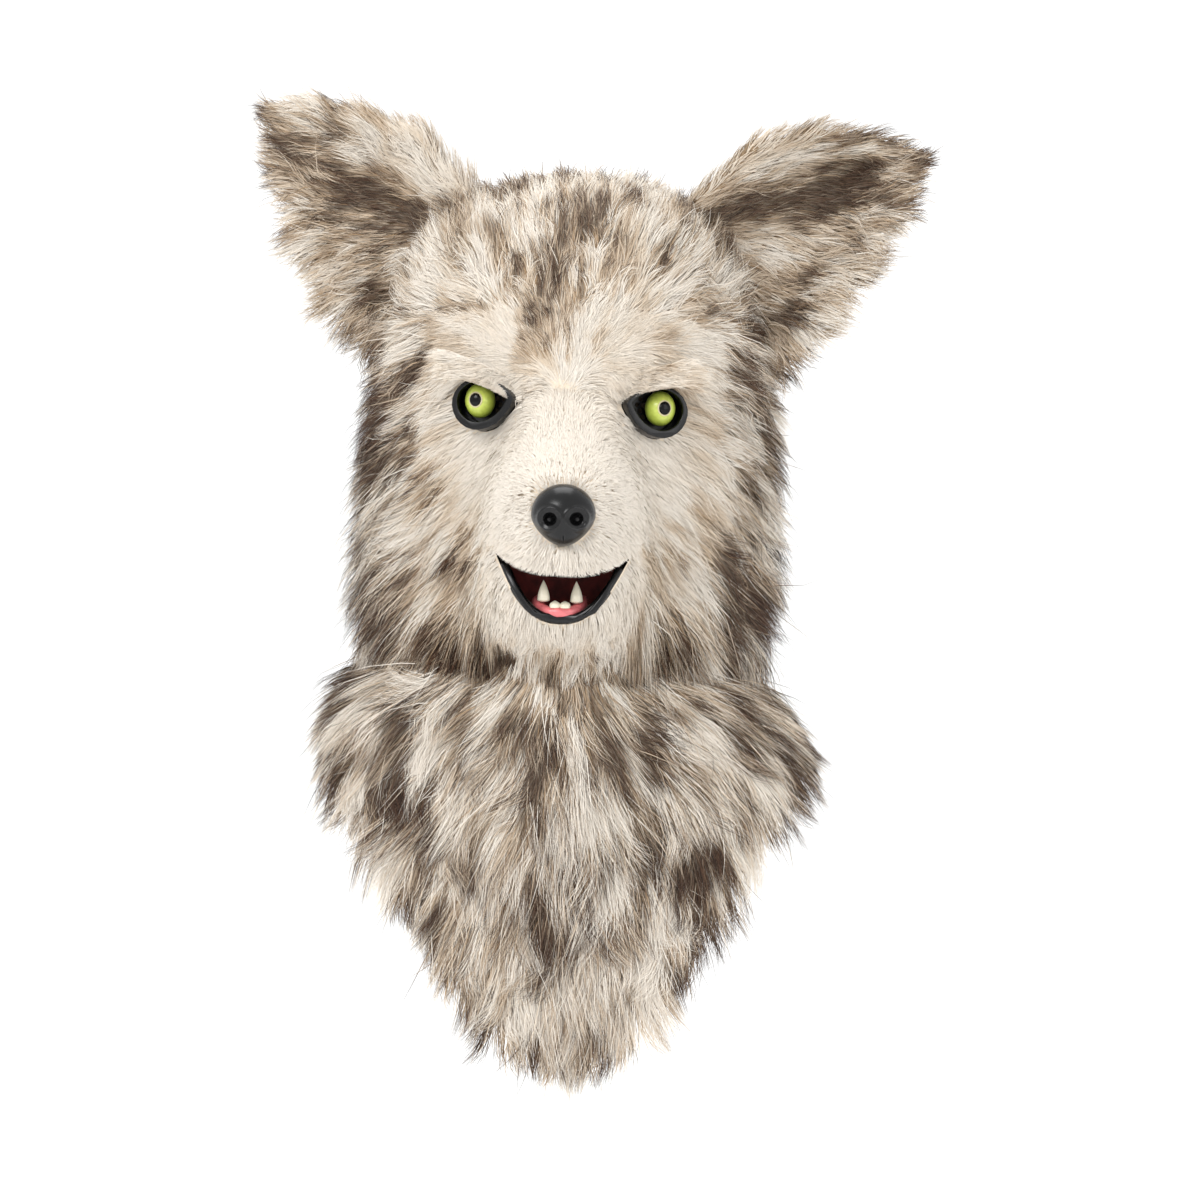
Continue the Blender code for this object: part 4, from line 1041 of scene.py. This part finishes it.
        mesh.loops.foreach_set("vertex_index", corners.astype(np.int32))
        mesh.polygons.add(count * len(sizes))
        mesh.polygons.foreach_set("loop_start", starts.astype(np.int32).ravel())
        mesh.polygons.foreach_set("use_smooth", np.ones(count * len(sizes), bool))
        mesh.update(calc_edges=True)
        lean = np.concatenate((np.repeat(facing[:, :steps], 2, axis=1), facing[:, steps:]), axis=1)
        mesh.normals_split_custom_set_from_vertices(lean.reshape(-1, 3).astype(np.float32))
        tone = mesh.color_attributes.new(TONE, "FLOAT_COLOR", "POINT")
        tone.data.foreach_set("color", np.concatenate(
            (shades.reshape(-1, 3), np.ones((count * block, 1))), axis=1).astype(np.float32).ravel())
        self.lay_out(mesh, count, along, corners)
        mesh.materials.append(material)
        piece = bpy.data.objects.new(self.name, mesh)
        bpy.context.scene.collection.objects.link(piece)
        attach(piece, BODY)
        return piece

    def lay_out(self, mesh: bpy.types.Mesh, count: int, along: Array, corners: Array) -> None:
        """Give each strand its own cell of the UV map.

        Args:
            mesh: The coat's mesh.
            count: How many strands it has.
            along: Where a strand's points lie along it.
            corners: The vertex of each face corner.
        """
        columns = max(1, int(math.sqrt(count)))
        rows = count // columns + 1
        steps = len(along) - 1
        across = np.concatenate((np.tile((0.15, 0.85), steps), [0.5]))
        above = np.concatenate((np.repeat(along[:steps], 2), [1.0])) * 0.8 + 0.1
        cell = np.arange(count)
        places = np.stack((((cell % columns)[:, None] + across[None]) / columns,
                           ((cell // columns)[:, None] + above[None]) / rows), axis=2).reshape(-1, 2)
        layer = mesh.uv_layers.new(name=BAKE_MAP)
        layer.data.foreach_set("uv", places[corners].astype(np.float32).ravel())


class Fur:
    """All the mask's fur, grown on the hood's and the ears' skins."""

    face_plush = Coat("face_plush", 56000, Shape.SHORT, 0.70, 10.0, 3.4, 0.35, 0.04, 21, "soft_plush",
                      "short_plush", patchy=0.5, tousle=12.0)
    brow_fur = Coat("brow_fur", 20000, Shape.LONG, 0.60, 11.0, 4.0, 0.60, 0.05, 22, tousle=14.0)
    crown_fur = Coat("crown_fur", 21000, Shape.LONG, 0.64, 12.0, 5.0, 0.78, 0.06, 23, front=1.8,
                     patchy=0.8)
    ruff_fur = Coat("ruff_fur", 35000, Shape.LONG, 0.68, 15.0, 6.0, 0.82, 0.06, 24, front=2.0)
    bib_long_fur = Coat("bib_long_fur", 36500, Shape.LONG, 0.60, 16.0, 6.0, 0.82, 0.05, 25)
    collar_fur = Coat("collar_fur", 16000, Shape.LONG, 0.82, 17.0, 6.5, 0.82, 0.05, 26, front=1.8)
    ear_coats = (
        Coat("ear_fur_left", 12000, Shape.LONG, 0.62, 11.0, 5.0, 0.72, 0.08, 27, front=2.0, patchy=0.5),
        Coat("ear_fur_right", 13000, Shape.LONG, 0.62, 11.0, 5.0, 0.72, 0.08, 28, front=2.0, patchy=0.5),
    )
    fringes = tuple(
        Coat(f"brow_fringe_{word}", 3600, Shape.SHORT, 0.58, 7.0, 3.2, 0.50, 0.06, 31,
             patchy=0.9, tousle=20.0)
        for word in ("left", "right"))

    # a dark brown-grey for the hood's inside, darker than its cream cloth: painted shade seen through the
    # eyes' nets
    painted_shade_lining = linear("5b5247")
    brow_line = -118.0 * MM
    muzzle_front = -125.0 * MM
    crown_line = -70.0 * MM
    bib_half_angle = math.radians(62.0)
    axis_top = -120.0 * MM

    def __init__(self, frame: dict, paints: dict[str, bpy.types.Material]) -> None:
        """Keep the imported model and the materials.

        Args:
            frame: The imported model.
            paints: The materials by name.
        """
        self.nodes = frame["nodes"]
        self.paints = paints

    def outer(self, middle: Vector, normal: Vector) -> bool:
        """Tell whether a face of the hood looks outwards."""
        away = Vector((middle.x, middle.y, middle.z - min(middle.z, self.axis_top))).normalized()
        return normal.dot(away) > 0.2

    def owners(self, pelt: Pelt) -> Array:
        """Find which fur solid lies over each triangle of the hood.

        Args:
            pelt: The hood's skin.

        Returns:
            0 for the face's, 1 for the head's and 2 for the bib's.
        """
        gaps = []
        for name in ("face_fur", "head_fur", "bib_fur"):
            bm = merged(self.nodes[name])
            tree = BVHTree.FromBMesh(bm)
            bm.free()
            gaps.append([tree.find_nearest(Vector(middle))[3] for middle in pelt.middles()])
        return np.argmin(np.array(gaps), axis=0)

    def build(self) -> None:
        """Grow every coat."""
        skin = Pelt(self.nodes["hood"], self.outer)
        owner = self.owners(skin)
        middles = skin.middles()
        angle = np.abs(np.arctan2(middles[:, 0], -middles[:, 1]))
        high = (middles[:, 2] > self.brow_line) & (middles[:, 1] > self.muzzle_front)
        head = Grooming(HEAD_COMBS, (62.0, 62.0, 24.0))
        jobs = (
            (self.face_plush, (owner == 0) & ~high, ("face_fur",)),
            (self.brow_fur, (owner == 0) & high, ("face_fur",)),
            (self.crown_fur, (owner == 1) & (middles[:, 2] > self.crown_line), ("head_fur",)),
            (self.ruff_fur, (owner == 1) & (middles[:, 2] <= self.crown_line), ("head_fur",)),
            (self.bib_long_fur, (owner == 2) & (angle < self.bib_half_angle), ("bib_fur",)),
            (self.collar_fur, (owner == 2) & (angle >= self.bib_half_angle), ("bib_fur",)),
        )
        for coat, chosen, stood_for in jobs:
            piece = coat.grow(skin.part(chosen), head, self.paints[coat.finish])
            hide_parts(*stood_for)
            LOG.info("%s has %d faces", piece.name, len(piece.data.polygons))
        for coat, (word, line) in zip(self.fringes, BROWS):
            pelt = Pelt.brow(self.nodes[f"eye_rim_{word}"], line)
            piece = coat.grow(pelt, head, self.paints[coat.finish])
            LOG.info("%s has %d faces", piece.name, len(piece.data.polygons))
        ears = Grooming(EAR_COMBS, (28.0, 50.0, 60.0))
        for coat, name in zip(self.ear_coats, ("ear_left", "ear_right")):
            pelt = Pelt(self.nodes[name], lambda middle, normal: True)
            piece = coat.grow(pelt, ears, self.paints[coat.finish])
            self.nodes[name].data.materials.clear()
            self.nodes[name].data.materials.append(self.paints["ear_backing"])
            LOG.info("%s has %d faces", piece.name, len(piece.data.polygons))
        self.dress_hood(head)

    def dress_hood(self, grooming: Grooming) -> None:
        """Tint the hood's outside like the fur over it and give its inside one dark brown-grey: painted
        shade inside the hood.

        Args:
            grooming: The lay of the head's fur.
        """
        mesh = self.nodes["hood"].data
        mesh.materials.clear()
        mesh.materials.append(self.paints["knit_backing"])
        places = np.empty(len(mesh.vertices) * 3, np.float32)
        mesh.vertices.foreach_get("co", places)
        places = places.reshape(-1, 3)
        # the marks tint the hood too, their painted shade as well as the fur's own streaks
        dark = ease(grooming.read(places)[3] + 0.6 * mark_strength(places), 0.05, 0.9)[:, None]
        tones = np.array(Hue.CREAM.value) * (1.0 - dark) + np.array(Hue.UMBER.value) * dark
        painted_shade_lining = np.zeros(len(places), bool)
        for face in mesh.polygons:
            if not self.outer(face.center, face.normal):
                painted_shade_lining[list(face.vertices)] = True
        # the inside faces take the dark brown-grey: painted shade
        tones[painted_shade_lining] = self.painted_shade_lining
        tone = mesh.color_attributes.new(TONE, "FLOAT_COLOR", "POINT")
        colours = np.column_stack((tones, np.ones(len(places))))
        tone.data.foreach_set("color", colours.astype(np.float32).ravel())


# Eyes


@dataclass
class Eye:
    """One eye: a painted ball with a pale ring and a glossy pupil, in its rim and net."""

    word: str
    half_width: float = 9.2 * MM
    half_height: float = 10.6 * MM
    half_depth: float = 9.0 * MM
    ring_outer: float = 4.5 * MM
    ring_inner: float = 3.6 * MM
    ring_stand: float = 0.4 * MM
    pupil_rise: float = 1.5 * MM
    pupil_tall: float = 1.12
    rim_round: float = 0.9 * MM

    def frame(self, nodes: dict[str, bpy.types.Object]) -> Matrix:
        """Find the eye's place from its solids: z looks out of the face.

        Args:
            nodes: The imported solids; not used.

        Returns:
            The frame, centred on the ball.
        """
        low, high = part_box(f"eye_ball_{self.word}")
        centre = (low + high) / 2.0
        low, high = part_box(f"pupil_{self.word}")
        out = ((low + high) / 2.0 - centre).normalized()
        beside = Vector((0.0, 0.0, 1.0)).cross(out).normalized()
        turn = Matrix((beside, out.cross(beside), out)).transposed().to_4x4()
        turn.translation = centre
        return turn

    def build(self, nodes: dict[str, bpy.types.Object], paints: dict[str, bpy.types.Material]) -> None:
        """Make the eye's pieces.

        Args:
            nodes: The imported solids.
            paints: The materials by name.
        """
        place = self.frame(nodes)
        ball = bmesh.new()
        bmesh.ops.create_uvsphere(ball, u_segments=48, v_segments=32, radius=1.0)
        bmesh.ops.scale(ball, vec=(self.half_width, self.half_height, self.half_depth), verts=ball.verts)
        tone = ball.verts.layers.float_color.new(TONE)
        rim_hue, mid_hue = Vector(linear("a9b948")), Vector(linear("c9d665"))
        for vert in ball.verts:
            reach = math.hypot(vert.co.x, vert.co.y) / self.half_width
            share = min(1.0, max(0.0, (reach - 0.55) / 0.5))
            hue = mid_hue.lerp(rim_hue, share)
            vert[tone] = (*hue, 1.0)
        bmesh.ops.transform(ball, matrix=place, verts=ball.verts)
        piece = settle(f"eyeball_{self.word}", ball, paints["eye_paint"])
        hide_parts(f"eye_ball_{self.word}")

        top = self.half_depth * math.sqrt(1.0 - (self.ring_outer / self.half_width) ** 2)
        ring = bmesh.new()
        profile = ((self.ring_outer, top - 0.4 * MM), (self.ring_outer - 0.2 * MM, top + self.ring_stand),
                   (self.ring_inner + 0.1 * MM, top + self.ring_stand + 0.4 * MM),
                   (self.ring_inner - 0.3 * MM, top))
        verts = [ring.verts.new((x, 0.0, z)) for x, z in profile]
        edges = [ring.edges.new(pair) for pair in zip(verts, verts[1:] + verts[:1])]
        bmesh.ops.spin(ring, geom=verts + edges, axis=(0, 0, 1), cent=(0, 0, 0), angle=2.0 * math.pi,
                       steps=48, use_merge=True)
        bmesh.ops.remove_doubles(ring, verts=ring.verts, dist=1e-7)
        bmesh.ops.recalc_face_normals(ring, faces=ring.faces)
        bmesh.ops.scale(ring, vec=(1.0, self.pupil_tall, 1.0), verts=ring.verts)
        bmesh.ops.transform(ring, matrix=place, verts=ring.verts)
        piece = settle(f"iris_rim_{self.word}", ring, paints["iris_paint"])
        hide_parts(f"iris_ring_{self.word}")

        pupil = bmesh.new()
        bmesh.ops.create_uvsphere(pupil, u_segments=32, v_segments=16, radius=1.0)
        bmesh.ops.scale(pupil, vec=(self.ring_inner, self.ring_inner * self.pupil_tall, self.pupil_rise),
                        verts=pupil.verts)
        bmesh.ops.translate(pupil, vec=(0.0, 0.0, top + self.ring_stand), verts=pupil.verts)
        bmesh.ops.transform(pupil, matrix=place, verts=pupil.verts)
        piece = settle(f"pupil_dome_{self.word}", pupil, paints["pupil_gloss"])
        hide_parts(f"pupil_{self.word}")

        rim = refined(nodes[f"eye_rim_{self.word}"], self.rim_round)
        piece = settle(f"eye_rim_round_{self.word}", rim, paints["black_vinyl"])
        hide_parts(f"eye_rim_{self.word}")

        net = nodes[f"eye_net_{self.word}"]
        net.data.materials.clear()
        net.data.materials.append(paints["black_net"])


# Nose


@dataclass
class Nose:
    """The moulded nose: a rounded body with curled nostrils and a cleft, sizes as shares of it."""

    segments: int = 96
    rings: int = 72
    nostril_x: float = 0.41
    nostril_z: float = -0.14
    hole: float = 0.165
    hole_deep: float = 0.36
    bowl: float = 0.30
    bowl_deep: float = 0.08
    curl_reach: float = 0.36
    curl_wide: float = 0.065
    curl_rise: float = 0.12
    cleft_start: float = -0.4
    cleft_top: float = -0.75
    taper: float = 0.26
    front_end: float = 0.3
    cleft_wide: float = 0.03
    cleft_deep: float = 0.09

    def build(self, paints: dict[str, bpy.types.Material]) -> None:
        """Make the nose in the space of its solid.

        Args:
            paints: The materials by name.
        """
        low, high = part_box("nose")
        centre, half = (low + high) / 2.0, (high - low) / 2.0
        bm = bmesh.new()
        bmesh.ops.create_uvsphere(bm, u_segments=self.segments, v_segments=self.rings, radius=1.0)
        forward = Matrix.Rotation(math.radians(90.0), 3, "X")
        bmesh.ops.rotate(bm, cent=(0, 0, 0), matrix=forward, verts=bm.verts)
        for vert in bm.verts:
            x, y, z = vert.co
            taper = 1.0 - self.taper * max(0.0, -z) ** 1.4
            place = Vector((x * taper, y, z))
            if y < self.front_end:
                place.y += self.carving(place.x, z)
            vert.co = Vector((centre.x + place.x * half.x, centre.y + place.y * half.y,
                              centre.z + place.z * half.z))
        piece = settle("nose_leather", bm, paints["black_vinyl"], 80.0)
        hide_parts("nose")

    def carving(self, x: float, z: float) -> float:
        """Work out how far a place of the nose's front is carved in.

        Args:
            x: Where it is across, from -1 to 1.
            z: Where it is upwards, from -1 to 1.

        Returns:
            The depth, below 0 where it is raised.
        """
        depth = 0.0
        for side in (-1.0, 1.0):
            reach = math.hypot(x - side * self.nostril_x, z - self.nostril_z)
            open_side = 0.6 + 0.4 * (x - side * self.nostril_x) * side / max(reach, 1e-6)
            depth += self.hole_deep * math.exp(-(reach / self.hole) ** 4)
            depth += self.bowl_deep * math.exp(-(reach / self.bowl) ** 4)
            curl = math.exp(-((reach - self.curl_reach) / self.curl_wide) ** 2)
            depth -= self.curl_rise * open_side * curl
        below = min(1.0, max(0.0, (self.cleft_start - z) / (self.cleft_start - self.cleft_top)))
        return depth + self.cleft_deep * below * math.exp(-(x / self.cleft_wide) ** 2)


# Mouth


@dataclass
class Mouth:
    """The open jaw: the black lip, its dark back, the gum and the teeth."""

    lip_round: float = 1.2 * MM
    lip_inset: float = 2.5
    lip_radius: float = 2.7 * MM
    corner_radius: float = 1.6 * MM
    upper_radius: float = 0.9 * MM
    upper_back: float = 8.0 * MM
    lip_stand: float = 1.8 * MM
    gum_radius: float = 3.6 * MM
    gum_back: float = 22.0 * MM
    gum_spread: float = 3.0 * MM
    gum_rise: float = 4.0 * MM
    floor_drop: float = 3.4 * MM
    tooth_swell: float = 1.2
    floor_half: float = 30.0 * MM
    lip_low: float = -260.0 * MM
    lip_blend: float = 4.0 * MM
    lower_beside: float = -2.0
    upper_beside: float = -3.0
    corner_share: float = 0.25
    steps: int = 48

    def build(self, nodes: dict[str, bpy.types.Object], paints: dict[str, bpy.types.Material]) -> None:
        """Make the mouth's pieces.

        Args:
            nodes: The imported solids.
            paints: The materials by name.
        """
        vinyl = paints["black_vinyl"]
        body = refined(nodes["jaw"], self.lip_round)
        for vert in body.verts:
            middle = max(0.0, 1.0 - (vert.co.x / self.floor_half) ** 2)
            above = min(1.0, max(0.0, (vert.co.z - self.lip_low) / self.lip_blend))
            vert.co.z -= self.floor_drop * middle * above
        jaw = settle("jaw_body", body, vinyl)
        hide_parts("jaw")
        skin = merged(nodes["hood"])
        tree = BVHTree.FromBMesh(skin)
        skin.free()
        sides = [-math.cos(math.pi * step / self.steps) for step in range(self.steps + 1)]
        lower = [self.seat(tree, MOUTH.lower(side, self.lip_inset), MOUTH.lower(side, self.lower_beside))
                 for side in sides]
        swell = [self.corner_radius + (self.lip_radius - self.corner_radius) * min(
            1.0, (1.0 - abs(side)) / self.corner_share) ** 0.7 for side in sides]
        settle("lower_lip", tube(lower, swell), vinyl)
        upper = [self.seat(tree, MOUTH.upper(side, 0.0), MOUTH.upper(side, self.upper_beside))
                 for side in sides[1:-1]]
        for place in upper:
            place.y += self.upper_back
        settle("upper_lip", tube(upper, [self.upper_radius] * len(upper)), vinyl)
        back = nodes["mouth_back"]
        back.data.materials.clear()
        back.data.materials.append(paints["mouth_maroon"])
        piece = settle("gum_ridge", self.gum(), paints["gum_pink"])
        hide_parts("gum")
        for name in ("canine_left", "canine_right", "incisor_left", "incisor_right", "rear_tooth_left",
                     "rear_tooth_right"):
            self.tooth(name, paints)

    def seat(self, tree: BVHTree, place: tuple[float, float], beside: tuple[float, float]) -> Vector:
        """Set a point of a lip at the depth of the skin beside it.

        Args:
            tree: The hood's skin.
            place: The point's x and z, in millimetres.
            beside: A point just outside the mouth's opening.

        Returns:
            The point.
        """
        hit = tree.ray_cast(Vector((beside[0] * MM, -1.0, beside[1] * MM)), Vector((0.0, 1.0, 0.0)))[0]
        return Vector((place[0] * MM, hit.y - self.lip_stand, place[1] * MM))

    def gum(self) -> bmesh.types.BMesh:
        """Make the gum: a soft ridge round the jaw's floor, higher at its sides."""
        low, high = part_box("gum")
        middle = (low.x + high.x) / 2.0
        half = (high.x - low.x) / 2.0 - self.gum_radius * 0.55 + self.gum_spread
        front = low.y + self.gum_radius
        places = []
        for step in range(33):
            turn = math.pi * step / 32.0
            back = (1.0 - math.sin(turn) ** 0.6) * self.gum_back
            places.append((middle - math.cos(turn) * half, front + back,
                           low.z + self.gum_radius * 0.35 - self.floor_drop + back * 0.12
                           + self.gum_rise * abs(math.cos(turn)) ** 5))
        bm = tube(places, [self.gum_radius] * len(places))
        for vert in bm.verts:
            wave = math.sin(vert.co.x * 900.0) * math.sin(vert.co.y * 700.0)
            vert.co.z += 0.25 * MM * wave
        return bm

    def tooth(self, name: str, paints: dict[str, bpy.types.Material]) -> None:
        """Make one tooth: a crown that swells, then tapers to a rounded tip.

        Args:
            name: The tooth's node.
            paints: The materials by name.
        """
        low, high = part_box(name)
        centre = (low + high) / 2.0
        radius, height = (high.x - low.x) / 2.0 * self.tooth_swell, high.z - low.z
        blunt = 1.5
        if name.startswith("incisor"):
            blunt = 3.5
            low.z -= self.floor_drop
        bm = bmesh.new()
        bmesh.ops.create_uvsphere(bm, u_segments=24, v_segments=24, radius=1.0)
        for vert in bm.verts:
            share = (vert.co.z + 1.0) / 2.0
            around = math.atan2(vert.co.y, vert.co.x)
            swell = (1.0 - share ** blunt) * (1.0 + 0.35 * share)
            wide = radius * swell * min(1.0, math.sqrt(share / 0.08))
            bend = 0.9 * MM * share ** 2
            vert.co = Vector((centre.x + math.cos(around) * wide,
                              centre.y + math.sin(around) * wide * 0.85 + bend, low.z + share * height))
        piece = settle(f"{name}_crown", bm, paints["tooth_ivory"], 80.0)
        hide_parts(name)


# Studio


@dataclass
class Studio:
    """The pale floor and backdrop, the soft lights and the camera."""

    floor: float = -0.66
    half_width: float = 4.0
    front: float = -3.0
    bend: float = 1.2
    bend_radius: float = 1.0
    wall: float = 3.0
    camera_place: tuple[float, float, float] = (0.021, -2.4, -0.250)
    lens: float = 114.7
    lights: tuple[tuple[str, tuple[float, float, float], float, float], ...] = field(default=(
        ("key_light", (-1.3, -2.2, 1.2), 1.2, 34.0),
        ("fill_light", (1.8, -2.0, 0.4), 1.6, 12.0),
        ("top_light", (0.0, 0.3, 2.0), 1.4, 16.0),
    ))

    def build(self) -> None:
        """Set up the studio."""
        bm = bmesh.new()
        line = [bm.verts.new((side * self.half_width, self.front, self.floor)) for side in (-1.0, 1.0)]
        edge = bm.edges.new(line)
        made = bmesh.ops.extrude_edge_only(bm, edges=[edge])["geom"]
        ends = [item for item in made if isinstance(item, bmesh.types.BMVert)]
        bmesh.ops.translate(bm, vec=(0.0, self.bend - self.front, 0.0), verts=ends)
        edge = next(item for item in made if isinstance(item, bmesh.types.BMEdge))
        turned = bmesh.ops.spin(bm, geom=ends + [edge], axis=(1, 0, 0), angle=math.radians(90.0), steps=16,
                                cent=(0.0, self.bend, self.floor + self.bend_radius))["geom_last"]
        edge = next(item for item in turned if isinstance(item, bmesh.types.BMEdge))
        made = bmesh.ops.extrude_edge_only(bm, edges=[edge])["geom"]
        ends = [item for item in made if isinstance(item, bmesh.types.BMVert)]
        bmesh.ops.translate(bm, vec=(0.0, 0.0, self.wall), verts=ends)
        mesh = bpy.data.meshes.new("backdrop")
        bm.to_mesh(mesh)
        bm.free()
        mesh.shade_smooth()
        paper = bpy.data.materials.new("backdrop_paper")
        paper.use_nodes = True
        paper.node_tree.nodes["Principled BSDF"].inputs["Base Color"].default_value = (0.97, 0.97, 0.97, 1.0)
        paper.node_tree.nodes["Principled BSDF"].inputs["Roughness"].default_value = 0.9
        mesh.materials.append(paper)
        backdrop = bpy.data.objects.new("backdrop", mesh)
        bpy.context.scene.collection.objects.link(backdrop)

        world = bpy.data.worlds.new("soft_box")
        world.use_nodes = True
        sky = world.node_tree.nodes["Background"]
        sky.inputs["Color"].default_value = (1.0, 1.0, 1.0, 1.0)
        sky.inputs["Strength"].default_value = 0.85
        bpy.context.scene.world = world

        aim = Vector((0.0, -0.05, -0.24))
        for name, place, size, power in self.lights:
            lamp = bpy.data.lights.new(name, "AREA")
            lamp.size = size
            lamp.energy = power
            item = bpy.data.objects.new(name, lamp)
            item.location = place
            item.rotation_euler = (aim - Vector(place)).to_track_quat("-Z", "Y").to_euler()
            bpy.context.scene.collection.objects.link(item)

        lens = bpy.data.cameras.new("camera")
        lens.lens = self.lens
        lens.sensor_width = 36.0
        camera = bpy.data.objects.new("camera", lens)
        camera.location = self.camera_place
        camera.rotation_euler = (math.radians(90.0), 0.0, 0.0)
        bpy.context.scene.collection.objects.link(camera)
        bpy.context.scene.camera = camera
        bpy.context.scene.view_settings.view_transform = "Standard"


def main() -> None:
    """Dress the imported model."""
    logging.basicConfig(level=logging.INFO, format="%(name)s: %(message)s")
    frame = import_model()
    Studio().build()
    mottle = make_mottle()
    paints = {finish.name: finish.build(mottle) for finish in FINISHES}
    for word in ("left", "right"):
        Eye(word).build(frame["nodes"], paints)
    Nose().build(paints)
    Mouth().build(frame["nodes"], paints)
    Fur(frame, paints).build()


if __name__ == "__main__":
    main()
